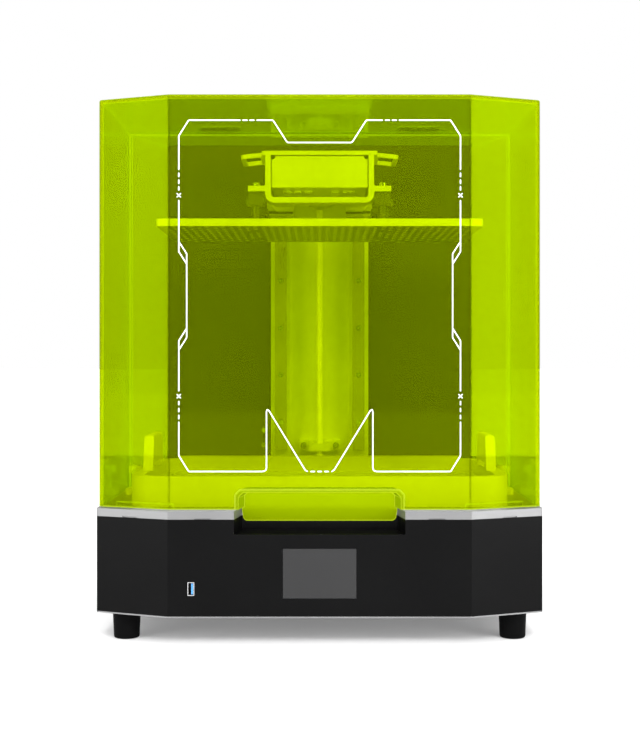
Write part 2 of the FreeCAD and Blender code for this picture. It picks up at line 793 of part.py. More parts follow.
def rocker_pivot(widen):
    """Cross pin that the rocker turns on, or its bore when widened."""
    reach = ROCKER_PIN_REACH + widen
    ends = [(ROCKER_X + side * reach, ROCKER_AXIS_Y, INLET_Z) for side in (-1, 1)]
    return rod(ROCKER_PIN_RADIUS + widen, *ends)


def power_rocker():
    """Rocker cap of the power switch with its pivot pin, tipped to its off side."""
    half = ROCKER_HALF_Z
    inner = REAR_Y - ROCKER_DEPTH
    profile = [
        (inner, INLET_Z - half),
        (REAR_Y + ROCKER_DISH, INLET_Z - half),
        (REAR_Y - ROCKER_DISH, INLET_Z),
        (REAR_Y + ROCKER_DISH, INLET_Z + half),
        (inner, INLET_Z + half),
    ]
    cap = side_on(profile, ROCKER_X - ROCKER_HALF_X, ROCKER_X + ROCKER_HALF_X)
    cap.rotate(Vector(ROCKER_X, ROCKER_AXIS_Y, INLET_Z), Vector(1, 0, 0), ROCKER_TILT)
    return cap.fuse(rocker_pivot(0)).removeSplitter()


def fan(x, z, size):
    """Square axial fan behind the rear wall: its frame, and its rotor with its blades."""
    y1 = REAR_Y - SHEET - CUT_GAP
    y0 = y1 - FAN_DEPTH
    half = size / 2
    frame = box(x - half, x + half, y0, y1, z - half, z + half)
    frame = frame.cut(rod(half - FAN_WALL, (x, y0 - 1, z), (x, y1 + 1, z)))
    hub_radius = size * FAN_HUB_SHARE
    arm_y = y0 + FAN_ARM
    arm_half = FAN_ARM / 2
    motor = rod(hub_radius, (x, y0, z), (x, arm_y, z))
    arms = [
        box(x - half + 1, x + half - 1, y0, arm_y, z - arm_half, z + arm_half),
        box(x - arm_half, x + arm_half, y0, arm_y, z - half + 1, z + half - 1),
    ]
    frame = frame.fuse([motor] + arms).removeSplitter()
    rotor = rod(hub_radius, (x, arm_y + 1, z), (x, y1 - 1, z))
    blade_y = y0 + FAN_DEPTH / 2
    for i in range(FAN_BLADES):
        blade = box(
            x + hub_radius - 1,
            x + half - FAN_WALL - FAN_TIP_GAP,
            blade_y - FAN_BLADE_THICK / 2,
            blade_y + FAN_BLADE_THICK / 2,
            z - FAN_BLADE_HALF,
            z + FAN_BLADE_HALF,
        )
        blade.rotate(Vector(x, blade_y, z), Vector(1, 0, 0), FAN_BLADE_TWIST)
        blade.rotate(Vector(x, y0, z), Vector(0, 1, 0), i * 360.0 / FAN_BLADES)
        rotor = rotor.fuse(blade)
    return frame, rotor.removeSplitter()


# ---- light engine and electronics -----------------------------------------------------------------


def display_plan(margin):
    """Rectangle round the display, grown by the margin or shrunk by a negative one."""
    return rectangle(LCD_HALF_X + margin, LCD_FRONT_Y - margin, LCD_REAR_Y + margin)


def lcd_panel():
    """Masking display that the light shines through."""
    return upright(display_plan(0), LCD_TOP - LCD_THICK, LCD_TOP, LCD_CORNER)


def lcd_bezel():
    """Raised frame that carries the display just under the vat's film."""
    outer = upright(display_plan(BEZEL_MARGIN), BEZEL_BOTTOM, LCD_TOP - BEZEL_DROP, BEZEL_CORNER)
    window = upright(display_plan(-BEZEL_SEAT), BEZEL_BOTTOM - 1, LCD_TOP)
    return outer.cut([lcd_panel(), window])


def light_engine_housing():
    """Box of four walls that carries the light from the lamps up to the display."""
    top = BEZEL_BOTTOM - CUT_GAP
    outer = upright(display_plan(-ENGINE_MARGIN), ENGINE_BOTTOM, top, ENGINE_WALL)
    inner = upright(display_plan(-ENGINE_MARGIN - ENGINE_WALL), ENGINE_BOTTOM - 1, top + 1)
    return outer.cut(inner)


def lamp_places():
    """Centres of the lamps."""
    middle_y = (LCD_FRONT_Y + LCD_REAR_Y) / 2
    places = []
    for i in range(LAMP_COLUMNS):
        for j in range(LAMP_ROWS):
            x = (i - (LAMP_COLUMNS - 1) / 2) * LAMP_PITCH
            places.append((x, middle_y + (j - (LAMP_ROWS - 1) / 2) * LAMP_PITCH))
    return places


def led_board():
    """Aluminium-core circuit board with one square lamp under each lens."""
    board_top = ENGINE_BOTTOM + BOARD_THICK
    board = upright(display_plan(-BOARD_MARGIN), ENGINE_BOTTOM, board_top)
    half = LAMP_HALF
    lamps = []
    for x, y in lamp_places():
        lamps.append(box(x - half, x + half, y - half, y + half, ENGINE_BOTTOM + 1, board_top + LAMP_HEIGHT))
    return board.fuse(lamps).removeSplitter()


def lens_array():
    """Clear moulded sheet with a dome over each lamp."""
    z = ENGINE_BOTTOM + LENS_RISE
    sheet = upright(display_plan(-BOARD_MARGIN), z, z + LENS_SHEET)
    half = LENS_HALF
    domes = []
    for x, y in lamp_places():
        ball = Part.makeSphere(LENS_RADIUS, Vector(x, y, z - LENS_SINK))
        domes.append(ball.common(box(x - half, x + half, y - half, y + half, z + 1, z + LENS_RISE)))
    return sheet.fuse(domes).removeSplitter()


def heat_sink():
    """Finned aluminium plate under the lamp board."""
    top = ENGINE_BOTTOM
    half = LCD_HALF_X - SINK_MARGIN
    y0 = LCD_FRONT_Y + SINK_MARGIN
    y1 = LCD_REAR_Y - SINK_MARGIN
    plate = upright(rectangle(half, y0, y1), top - SINK_PLATE, top)
    pitch = (2 * half - 2 * FIN_THICK) / (SINK_FINS - 1)
    fins = []
    for i in range(SINK_FINS):
        x = FIN_THICK - half + i * pitch
        fin = box(x - FIN_THICK / 2, x + FIN_THICK / 2, y0, y1, top - SINK_DEPTH, top - SINK_PLATE + 1)
        fins.append(fin)
    return plate.fuse(fins).removeSplitter()


def main_board():
    """Control board standing on the floor at the rear right, with its chips and connectors."""
    z = SHELL_BOTTOM + MAIN_BOARD_LIFT
    x0, x1, y0, y1 = MAIN_BOARD_X0, MAIN_BOARD_X1, MAIN_BOARD_Y0, MAIN_BOARD_Y1
    board = box(x0, x1, y0, y1, z, z + BOARD_THICK)
    extras = []
    for dx, dy, half, height in CHIPS:
        x = x0 + dx
        y = y0 + dy
        extras.append(box(x - half, x + half, y - half, y + half, z + 1, z + BOARD_THICK + height))
    rear = y1 - 1
    for i in range(CONNECTOR_COUNT):
        x = x0 + PILLAR_INSET + i * CONNECTOR_PITCH
        extras.append(box(x, x + CONNECTOR_WIDTH, rear - CONNECTOR_DEPTH, rear, z + 1, z + CONNECTOR_HEIGHT))
    for x in (x0 + PILLAR_INSET, x1 - PILLAR_INSET):
        for y in (y0 + PILLAR_INSET, y1 - CONNECTOR_DEPTH - PILLAR_INSET):
            extras.append(rod(PILLAR_RADIUS, (x, y, SHELL_BOTTOM), (x, y, z + 1)))
    return board.fuse(extras).removeSplitter()


def power_supply():
    """Folded steel power supply on the floor at the rear left."""
    top = SHELL_BOTTOM + SUPPLY_HEIGHT
    case = box(SUPPLY_X0, SUPPLY_X1, SUPPLY_Y0, SUPPLY_Y1, SHELL_BOTTOM, top)
    vents = []
    for i in range(SUPPLY_VENTS):
        x = SUPPLY_X0 + SUPPLY_VENT_WIDTH + i * SUPPLY_VENT_PITCH
        y0 = SUPPLY_Y0 + SUPPLY_VENT_INSET
        y1 = SUPPLY_Y1 - SUPPLY_VENT_INSET
        vents.append(box(x, x + SUPPLY_VENT_WIDTH, y0, y1, top - SUPPLY_WALL, top + 1))
    return case.cut(vents)


# ---- rear housing and covers ----------------------------------------------------------------------


def tower_slot(y0, y1, z0, z1):
    """Cutter that clears the tower's section."""
    half = TOWER_HALF + CUT_GAP
    return box(-half, half, y0, y1, z0, z1)


def rear_housing():
    """Upright black box at the back, open to the front, that holds the tower's back and the filter."""
    half = REAR_HALF
    outer = box(-half, half, REAR_BOX_Y - CUT_GAP, REAR_Y, PLATE_TOP, HOUSING_TOP)
    edges = [edge for edge in outer.Edges if abs(edge.BoundBox.YMin - REAR_Y) < 0.01]
    outer = outer.makeFillet(HOUSING_EDGE_RADIUS, edges)
    low = PLATE_TOP + SHEET
    high = HOUSING_TOP - SHEET
    inner = box(-half + SHEET, half - SHEET, REAR_BOX_Y + SHEET, REAR_Y - SHEET, low, high)
    lip = HOUSING_FLANGE
    half -= lip
    mouth = box(-half, half, REAR_BOX_Y - 2, REAR_BOX_Y + lip, PLATE_TOP + lip, HOUSING_TOP - lip)
    slot = tower_slot(REAR_BOX_Y - 2, TOWER_REAR_Y + CUT_GAP, PLATE_TOP - 1, PLATE_TOP + lip + 1)
    return outer.cut([inner, mouth, slot, fan_grille(EXHAUST_X, EXHAUST_Z, EXHAUST_SIZE)]).removeSplitter()


def back_panel():
    """Black wall behind the tower, cut out round it."""
    y0 = TOWER_FRONT_Y + PANEL_SETBACK
    y1 = y0 + SHEET
    plate = box(-PANEL_HALF, PANEL_HALF, y0, y1, PLATE_TOP, PANEL_TOP)
    cutters = [tower_slot(y0 - 1, y1 + 1, PLATE_TOP - 1, TOWER_TOP + CUT_GAP)]
    left = EXHAUST_X - PANEL_VENT_HALF
    right = EXHAUST_X + PANEL_VENT_HALF
    for i in range(PANEL_VENTS):
        z = EXHAUST_Z + (i - (PANEL_VENTS - 1) / 2) * PANEL_VENT_PITCH
        half_z = PANEL_VENT_HEIGHT / 2
        cutters.append(box(left, right, y0 - 1, y1 + 1, z - half_z, z + half_z))
    return plate.cut(cutters)


def carbon_filter():
    """Pleated carbon block between the back panel's vents and the exhaust fan."""
    y0 = REAR_BOX_Y + FILTER_START

    def square(half, start, end):
        return box(EXHAUST_X - half, EXHAUST_X + half, start, end, EXHAUST_Z - half, EXHAUST_Z + half)

    frame = square(FILTER_HALF, y0, y0 + FILTER_DEPTH)
    bed = square(FILTER_HALF - FILTER_FRAME, y0 - 1, y0 + FILTER_BED)
    low = EXHAUST_Z - FILTER_HALF + FILTER_BED
    high = EXHAUST_Z + FILTER_HALF - FILTER_BED
    pleats = []
    for i in range(FILTER_PLEATS):
        x = EXHAUST_X + (i - (FILTER_PLEATS - 1) / 2) * FILTER_PLEAT_PITCH
        pleats.append(box(x - PLEAT_HALF, x + PLEAT_HALF, y0 + 1, y0 + FILTER_BED + 1, low, high))
    return frame.cut(bed).fuse(pleats).removeSplitter()


def clear_shell():
    """Whole see-through hood: walls and ceiling, open below and behind, with a rounded top edge."""
    plan = outline()
    skin = upright(inset(plan, LID_INSET), LID_BOTTOM, LID_TOP, LID_EDGE_RADIUS)
    top_edges = [edge for edge in skin.Edges if edge.BoundBox.ZMin > LID_TOP - 0.01]
    skin = skin.makeFillet(LID_EDGE_RADIUS - 0.5, top_edges)
    return skin.cut(upright(inset(plan, LID_INSET + LID_WALL), LID_BOTTOM - 1, LID_TOP - LID_WALL))


def lid_shell(hood):
    """Front part of the hood, with the finger pocket's opening and two seat ribs in its lower edge."""
    lid = hood.common(box(-HALF_WIDTH, HALF_WIDTH, FRONT_Y, LID_REAR_Y, 0, LID_TOP + 1))
    lid = lid.cut(front_on(pocket_profile(HANDLE_FRONT_HALF, 0), FRONT_Y - 1, FRONT_Y + 7))
    inner_skin = LID_INSET + LID_WALL
    top = LID_BOTTOM + SEAT_RIB_HEIGHT
    ring = upright(inset(outline(), inner_skin - 0.5), LID_BOTTOM, top)
    ring = ring.cut(upright(inset(outline(), inner_skin + SEAT_RIB_THICK), LID_BOTTOM - 1, top + 1))
    rib = ring.common(box(SEAT_RIB_START, SEAT_RIB_END, FRONT_Y, FRONT_CORNER_Y, LID_BOTTOM, top))
    return lid.fuse([rib, mirrored(rib)]).removeSplitter()


def rear_cover(hood):
    """Rear part of the hood, fixed to the base, with a lip that the lid closes over."""
    start = LID_REAR_Y + LID_GAP
    cover = hood.common(box(-HALF_WIDTH, HALF_WIDTH, start, COVER_REAR_Y, 0, LID_TOP + 1))
    inner_skin = LID_INSET + LID_WALL
    plan = outline()
    ceiling = LID_TOP - LID_WALL
    ring = upright(inset(plan, inner_skin), PLATE_TOP, ceiling)
    inside = inset(plan, inner_skin + COVER_LIP_WALL)
    ring = ring.cut(upright(inside, PLATE_TOP - 1, ceiling - COVER_LIP_WALL))
    root = ring.common(box(-HALF_WIDTH, HALF_WIDTH, start, start + COVER_LIP_REACH + 1, 0, LID_TOP))
    tip = ring.common(upright(inset(plan, inner_skin + CUT_GAP), 0, ceiling - CUT_GAP))
    tip = tip.common(box(-HALF_WIDTH, HALF_WIDTH, start - COVER_LIP_REACH, start + 1, 0, LID_TOP))
    return cover.fuse([root, tip]).removeSplitter()


def pocket_profile(half, margin):
    """Front view of the finger pocket, its top corners cut off; margin thins it on the inside."""
    top = HANDLE_TOP - margin
    side = half - margin
    low = LID_BOTTOM - 1 if margin == 0 else LID_BOTTOM - 2
    shoulder = top - HANDLE_CHAMFER
    crown = side - HANDLE_CHAMFER
    return [(-side, low), (side, low), (side, shoulder), (crown, top), (-crown, top), (-side, shoulder)]


def pocket_solid(margin, y0, y1):
    """Tapered block between the pocket's front opening and its back wall."""
    wires = []
    for half, y in ((HANDLE_FRONT_HALF, y0), (HANDLE_REAR_HALF, y1)):
        wires.append(loop([Vector(x, y, z) for x, z in pocket_profile(half, margin)], 0))
    return Part.makeLoft(wires, True, True)


def lid_handle():
    """Moulded finger pocket bonded behind the lid's front wall, with the tongue that the fingers pull."""
    outer = pocket_solid(0, FRONT_Y + LID_INSET, HANDLE_REAR_Y)
    outer = outer.cut(box(-HALF_WIDTH, HALF_WIDTH, FRONT_Y, REAR_Y, 0, LID_BOTTOM))
    inner = pocket_solid(HANDLE_WALL, FRONT_Y + LID_INSET - 2, HANDLE_REAR_Y - LID_WALL)
    half = HANDLE_REAR_HALF - CUT_GAP
    low = LID_BOTTOM - TONGUE_SHOULDER
    high = HANDLE_TOP - TONGUE_SHOULDER
    tip = HANDLE_TIP_HALF
    right = [(tip, HANDLE_BOTTOM), (half, low), (half, high)]
    left = [(-x, z) for x, z in reversed(right)]
    tongue = front_on(right + left, HANDLE_REAR_Y - LID_WALL, HANDLE_REAR_Y, HANDLE_CORNER)
    return outer.cut(inner).fuse(tongue).removeSplitter()


# ---- lid hinge ------------------------------------------------------------------------------------


def hinge_leaf(x, direction, spans):
    """One leaf on the hood's top with its barrel knuckles; direction is -1 on the lid, 1 on the cover."""
    axis_y = LID_REAR_Y + LID_GAP / 2
    near = axis_y + direction * LEAF_SETBACK
    far = near + direction * LEAF_LENGTH
    knee = near + direction * LEAF_THICK
    y0, y1 = sorted((near, far))
    leaf = box(x - HINGE_HALF, x + HINGE_HALF, y0, y1, LID_TOP, LID_TOP + LEAF_THICK)
    knuckles = []
    for start, end in spans:
        x0 = x + start
        x1 = x + end
        y0, y1 = sorted((axis_y, near))
        tab = box(x0, x1, y0, y1, LID_TOP + 0.2, HINGE_Z)
        tab = tab.cut(rod(HINGE_BARREL - 0.5, (x0 - 1, axis_y, HINGE_Z), (x1 + 1, axis_y, HINGE_Z)))
        y0, y1 = sorted((near, knee))
        foot = box(x0, x1, y0, y1, LID_TOP, HINGE_Z)
        knuckles.extend([rod(HINGE_BARREL, (x0, axis_y, HINGE_Z), (x1, axis_y, HINGE_Z)), tab, foot])
    return leaf.fuse(knuckles).cut(hinge_pin(x, RUNNING_GAP)).removeSplitter()


def hinge_pin(x, widen):
    """Pin through a hinge's knuckles, or its bore when widened."""
    axis_y = LID_REAR_Y + LID_GAP / 2
    reach = HINGE_HALF + CUT_GAP + widen
    return rod(HINGE_PIN + widen, (x - reach, axis_y, HINGE_Z), (x + reach, axis_y, HINGE_Z))


def hinges():
    """Two butt hinges: the cover's leaves, the lid's leaves and the pins."""
    split = KNUCKLE_HALF + KNUCKLE_GAP
    outer = [(-HINGE_HALF, -split), (split, HINGE_HALF)]
    inner = [(-KNUCKLE_HALF, KNUCKLE_HALF)]
    places = (-HINGE_X, HINGE_X)
    fixed = [hinge_leaf(x, 1, outer) for x in places]
    moving = [hinge_leaf(x, -1, inner) for x in places]
    pins = [hinge_pin(x, 0) for x in places]
    return Part.makeCompound(fixed), Part.makeCompound(moving), Part.makeCompound(pins)


# ---- tower ----------------------------------------------------------------------------------------


def tower_frame():
    """Hollow extruded column pair joined by a recessed web."""
    profile = [
        (-TOWER_HALF, TOWER_FRONT_Y),
        (-COLUMN_INNER, TOWER_FRONT_Y),
        (-COLUMN_INNER, TOWER_WEB_Y),
        (COLUMN_INNER, TOWER_WEB_Y),
        (COLUMN_INNER, TOWER_FRONT_Y),
        (TOWER_HALF, TOWER_FRONT_Y),
        (TOWER_HALF, TOWER_REAR_Y),
        (-TOWER_HALF, TOWER_REAR_Y),
    ]
    frame = upright(profile, PLATE_TOP, TOWER_TOP)
    low = PLATE_TOP - 1
    high = TOWER_TOP + 1
    rear = TOWER_REAR_Y - TOWER_WALL
    middle_half = COLUMN_INNER - TOWER_WALL - 1
    cores = [box(-middle_half, middle_half, TOWER_WEB_Y + TOWER_WALL, rear, low, high)]
    for side in (-1, 1):
        middle = side * (TOWER_HALF + COLUMN_INNER) / 2
        half = (TOWER_HALF - COLUMN_INNER) / 2 - TOWER_WALL
        cores.append(box(middle - half, middle + half, TOWER_FRONT_Y + TOWER_FACE_WALL, rear, low, high))
    return frame.cut(cores)


def rail_screw_heights():
    """Heights of the screws along a rail."""
    count = int((RAIL_TOP - RAIL_FIRST_SCREW) // RAIL_PITCH) + 1
    return [RAIL_FIRST_SCREW + i * RAIL_PITCH for i in range(count)]


def linear_rails():
    """Two hardened rails with a ball groove on each flank and counterbored screw holes."""
    solids = []
    half = RAIL_WIDTH / 2
    waist = half - RAIL_GROOVE
    face = TOWER_FRONT_Y - RAIL_HEIGHT
    right = [
        (half, 0),
        (half, GROOVE_LOW),
        (waist, GROOVE_LOW + RAIL_GROOVE),
        (waist, GROOVE_HIGH - RAIL_GROOVE),
        (half, GROOVE_HIGH),
        (half, RAIL_HEIGHT),
    ]
    for x in (-RAIL_X, RAIL_X):
        profile = [(x + dx, face + dy) for dx, dy in right]
        profile += [(x - dx, face + dy) for dx, dy in reversed(right)]
        rail = upright(profile, RAIL_BOTTOM, RAIL_TOP)
        bores = []
        for z in rail_screw_heights():
            bores.append(rod(RAIL_BORE_RADIUS, (x, face - 1, z), (x, face + RAIL_BORE_DEPTH, z)))
        solids.append(rail.cut(bores))
    return Part.makeCompound(solids)


def rail_screws():
    """Socket screws sunk in the rails."""
    solids = []
    face = TOWER_FRONT_Y - RAIL_HEIGHT
    for x in (-RAIL_X, RAIL_X):
        for z in rail_screw_heights():
            head = rod(RAIL_SCREW_RADIUS, (x, face + RAIL_SCREW_SINK, z), (x, face + RAIL_BORE_DEPTH, z))
            solids.append(head.cut(rod(RAIL_SOCKET_RADIUS, (x, face, z), (x, face + RAIL_SOCKET_DEPTH, z))))
    return Part.makeCompound(solids)


def bearing_block(z0, z1):
    """Block bolted to the tower that holds one of the lead screw's bearings, sunk below its top."""
    wings = box(-BEARING_HALF, BEARING_HALF, BEARING_WING_Y, TOWER_WEB_Y, z0, z1)
    nose = box(-BEARING_NOSE_HALF, BEARING_NOSE_HALF, BEARING_NOSE_Y, TOWER_WEB_Y, z0, z1)
    block = wings.fuse(nose).removeSplitter()
    seat = z1 - BEARING_SINK
    through = rod(SCREW_RADIUS + BEARING_PASSAGE, (0, SCREW_Y, z0 - 1), (0, SCREW_Y, z1 + 1))
    pocket = rod(BEARING_RADIUS, (0, SCREW_Y, seat - BEARING_HEIGHT), (0, SCREW_Y, z1))
    half = BEARING_SINK_RADIUS
    sink = box(-half, half, BEARING_NOSE_Y - 1, SCREW_Y + half, seat, z1 + 1)
    return block.cut([through, pocket, sink]).removeSplitter()


def bearing_rings():
    """The lead screw's two ball bearings, as plain rings with a running fit on the screw."""
    rings = []
    for block_top in (BEARING_TOP, UPPER_BEARING_TOP):
        top = block_top - BEARING_SINK
        bottom = top - BEARING_HEIGHT
        ring = rod(BEARING_RADIUS, (0, SCREW_Y, bottom), (0, SCREW_Y, top))
        bore = rod(SCREW_RADIUS + RUNNING_GAP, (0, SCREW_Y, bottom - 1), (0, SCREW_Y, top + 1))
        rings.append(ring.cut(bore))
    return Part.makeCompound(rings)


def socket_screw(x, y, z, radius, height):
    """Screw head that stands out of a front face, with its socket."""
    head = rod(radius, (x, y - height, z), (x, y, z))
    return head.cut(rod(radius * 0.5, (x, y - height - 1, z), (x, y - height * 0.4, z)))


def frame_screws():
    """Screws that hold the two bearing blocks, and two low in the back panel."""
    solids = []
    middles = ((BEARING_BOTTOM + BEARING_TOP) / 2, (UPPER_BEARING_BOTTOM + UPPER_BEARING_TOP) / 2)
    for z in middles:
        for x in (-CAP_SCREW_X, CAP_SCREW_X):
            solids.append(socket_screw(x, BEARING_WING_Y, z, CAP_SCREW_RADIUS, CAP_SCREW_HEIGHT))
    y = TOWER_FRONT_Y + PANEL_SETBACK
    for z in PANEL_SCREW_HEIGHTS:
        solids.append(socket_screw(PANEL_SCREW_X, y, z, PANEL_SCREW_RADIUS, PANEL_SCREW_HEIGHT))
    return Part.makeCompound(solids)


def z_motor():
    """Square stepper motor hung under the top plate, hollow where the lead screw enters it."""

    def square(margin, z0, z1, radius=0.0):
        half = MOTOR_HALF + margin
        return upright(rectangle(half, SCREW_Y - half, SCREW_Y + half), z0, z1, radius)

    body = square(0, MOTOR_TOP - MOTOR_LENGTH, MOTOR_TOP, MOTOR_CORNER)
    pilot = rod(MOTOR_PILOT_RADIUS, (0, SCREW_Y, MOTOR_TOP - 1), (0, SCREW_Y, MOTOR_TOP + 2))
    low = MOTOR_TOP - MOTOR_LENGTH + MOTOR_END
    high = MOTOR_TOP - MOTOR_END
    core = square(-MOTOR_WAIST, low - 1, high + 1, MOTOR_CORNER - MOTOR_WAIST)
    waist = square(1, low, high).cut(core)
    bore_low = MOTOR_TOP - MOTOR_SHAFT_DEPTH - 2
    bore = rod(SCREW_RADIUS + RUNNING_GAP, (0, SCREW_Y, bore_low), (0, SCREW_Y, MOTOR_TOP + 3))
    return body.cut(waist).fuse(pilot).cut(bore).removeSplitter()


def lead_screw():
    """Trapezoidal screw from inside the motor to the upper bearing."""
    low = MOTOR_TOP - MOTOR_SHAFT_DEPTH
    return rod(SCREW_RADIUS, (0, SCREW_Y, low), (0, SCREW_Y, UPPER_BEARING_TOP - 1))


# ---- carriage -------------------------------------------------------------------------------------


def rail_channel(x):
    """Cutter that clears a rail along the whole length of a block."""
    half = RAIL_WIDTH / 2 + FREE_GAP
    front = TOWER_FRONT_Y - RAIL_HEIGHT - FREE_GAP
    return box(x - half, x + half, front, BLOCK_REAR_Y + 1, BLOCK_BOTTOM - 1, BLOCK_TOP + 1)


def block_slice(x, shrink, z0, z1):
    """Length of a rail block, set back from its outline by the shrink."""
    half = BLOCK_WIDTH / 2 - shrink
    slab = box(x - half, x + half, BLOCK_FRONT_Y + shrink, BLOCK_REAR_Y - shrink, z0, z1)
    return slab.cut(rail_channel(x))


def carriage_blocks():
    """Steel bodies of the two rail blocks and the thin steel seal plates at their ends."""
    solids = []
    ends = SEAL_THICK + END_CAP
    for x in (-RAIL_X, RAIL_X):
        solids.append(block_slice(x, 0, BLOCK_BOTTOM + ends, BLOCK_TOP - ends))
        solids.append(block_slice(x, END_SHRINK / 2, BLOCK_BOTTOM, BLOCK_BOTTOM + SEAL_THICK))
        solids.append(block_slice(x, END_SHRINK / 2, BLOCK_TOP - SEAL_THICK, BLOCK_TOP))
    return Part.makeCompound(solids)


def block_end_caps():
    """Moulded ball-return caps between each block's body and its seal plates."""
    solids = []
    for x in (-RAIL_X, RAIL_X):
        for z in (BLOCK_BOTTOM + SEAL_THICK, BLOCK_TOP - SEAL_THICK - END_CAP):
            solids.append(block_slice(x, END_SHRINK, z, z + END_CAP))
    return Part.makeCompound(solids)


def nut_notch():
    """Cutter through the carriage plate and the gusset's back that clears the nut's flange."""
    front = GUSSET_FRONT_Y + GUSSET_FRONT_WALL
    return box(-NOTCH_HALF, NOTCH_HALF, front, BLOCK_FRONT_Y + 1, CARRIAGE_BOTTOM - 1, NOTCH_TOP)


def carriage_plate():
    """Plate across both blocks, its lower corners cut off and its middle cut out round the nut."""
    wide = CARRIAGE_HALF
    low = CARRIAGE_LOWER_HALF
    shoulder = CARRIAGE_BOTTOM + CARRIAGE_CHAMFER
    profile = [
        (-low, CARRIAGE_BOTTOM),
        (low, CARRIAGE_BOTTOM),
        (wide, shoulder),
        (wide, BLOCK_TOP),
        (-wide, BLOCK_TOP),
        (-wide, shoulder),
    ]
    return front_on(profile, CARRIAGE_FRONT_Y, BLOCK_FRONT_Y, CARRIAGE_CORNER).cut(nut_notch())


def lead_nut():
    """Flanged brass nut on the screw, with the block that bolts it to the carriage plate."""
    flange_low = NUT_BOTTOM + NUT_FLARE_HEIGHT
    flange_high = flange_low + NUT_FLANGE_THICK
    flare = Part.makeCone(NUT_FLARE_LOW, NUT_FLARE_HIGH, NUT_FLARE_HEIGHT, Vector(0, SCREW_Y, NUT_BOTTOM))
    flange = rod(NUT_FLANGE_RADIUS, (0, SCREW_Y, flange_low), (0, SCREW_Y, flange_high))
    barrel = rod(NUT_RADIUS, (0, SCREW_Y, flange_low), (0, SCREW_Y, NUT_BLOCK_TOP))
    half = NUT_BLOCK_HALF
    bridge = box(-half, half, BLOCK_FRONT_Y, SCREW_Y, NOTCH_TOP + 2, NUT_BLOCK_TOP)
    bore = rod(SCREW_RADIUS + RUNNING_GAP, (0, SCREW_Y, NUT_BOTTOM - 1), (0, SCREW_Y, NUT_BLOCK_TOP + 1))
    return flare.fuse([flange, barrel, bridge]).cut(bore).removeSplitter()


def platform_arm():
    """Cantilever: a wide gusset on the carriage plate and the long block that the platform slides on."""
    wide = GUSSET_HALF
    low = GUSSET_LOWER_HALF
    shoulder = GUSSET_BOTTOM + GUSSET_CHAMFER
    profile = [
        (-low, GUSSET_BOTTOM),
        (low, GUSSET_BOTTOM),
        (wide, shoulder),
        (wide, TUBE_TOP),
        (-wide, TUBE_TOP),
        (-wide, shoulder),
    ]
    gusset = front_on(profile, GUSSET_FRONT_Y, CARRIAGE_FRONT_Y, CARRIAGE_CORNER)
    rail = [(-ARM_HALF, ARM_BOTTOM), (ARM_HALF, ARM_BOTTOM), (ARM_HALF, ARM_TOP), (-ARM_HALF, ARM_TOP)]
    block = front_on(rail, ARM_FRONT_Y, GUSSET_FRONT_Y + 1, 1.0)
    cutters = []
    for side in (-1, 1):
        x = side * (ARM_HALF - 1)
        cutters.append(rod(ARM_RELIEF, (x, TUBE_FRONT_Y, ARM_TOP - 1), (x, TUBE_REAR_Y, ARM_TOP - 1)))
    half = GUSSET_POCKET_HALF
    y0 = GUSSET_FRONT_Y + GUSSET_FRONT_WALL
    y1 = CARRIAGE_FRONT_Y - GUSSET_REAR_WALL
    pocket = box(-half, half, y0, y1, GUSSET_BOTTOM - 1, TUBE_TOP - GUSSET_REAR_WALL)
    return block.cut(cutters).fuse(gusset).cut([pocket, nut_notch()]).removeSplitter()


# ---- platform -------------------------------------------------------------------------------------


def channel_profile(half, low, high):
    """Rectangle seen from the front, about the middle plane."""
    return [(-half, low), (half, low), (half, high), (-half, high)]


def platform_bracket():
    """Channel that wraps the arm, its floor cut short, with a flange on each side for the screws."""
    front = TUBE_FRONT_Y
    rear = TUBE_REAR_Y
    outer = front_on(channel_profile(TUBE_HALF, TUBE_BOTTOM, TUBE_TOP + TUBE_BEND), front, rear, TUBE_BEND)
    hollow = channel_profile(TUBE_HALF - TUBE_WALL, TUBE_BOTTOM + TUBE_WALL, TUBE_TOP + 3 * TUBE_BEND)
    inner = front_on(hollow, front - 1, rear + 1, TUBE_BEND - TUBE_WALL)
    above = box(-HALF_WIDTH, HALF_WIDTH, front - 1, rear + 1, TUBE_TOP, TUBE_TOP + 4 * TUBE_BEND)
    flanges = [
        box(-FLANGE_HALF, -TUBE_HALF + 1, front, rear, FLANGE_BOTTOM, FLANGE_TOP),
        box(TUBE_HALF - 1, FLANGE_HALF, front, rear, FLANGE_BOTTOM, FLANGE_TOP),
    ]
    channel = outer.cut([inner, above]).fuse(flanges).removeSplitter()
    corners = []
    for edge in channel.Edges:
        middle = edge.CenterOfMass
        runs_back = edge.BoundBox.YLength > rear - front - 1
        at_wall = abs(abs(middle.x) - TUBE_HALF) < 0.1
        if runs_back and at_wall and FLANGE_BOTTOM - 1 < middle.z < FLANGE_TOP + 1:
            corners.append(edge)
    half = TUBE_HALF + 1
    cutters = [box(-half, half, TUBE_FLOOR_REAR_Y, rear + 1, TUBE_BOTTOM - 1, FLANGE_BOTTOM)]
    for x, y in level_places():
        cutters.append(rod(LEVEL_SCREW_RADIUS + FREE_GAP, (x, y, FLANGE_BOTTOM - 1), (x, y, FLANGE_TOP + 1)))
    return channel.makeFillet(FLANGE_CORNER, corners).cut(cutters).removeSplitter()


def level_places():
    """Centres of the four levelling screws."""
    return [(x, y) for x in (-LEVEL_X, LEVEL_X) for y in (LEVEL_FRONT_Y, LEVEL_REAR_Y)]


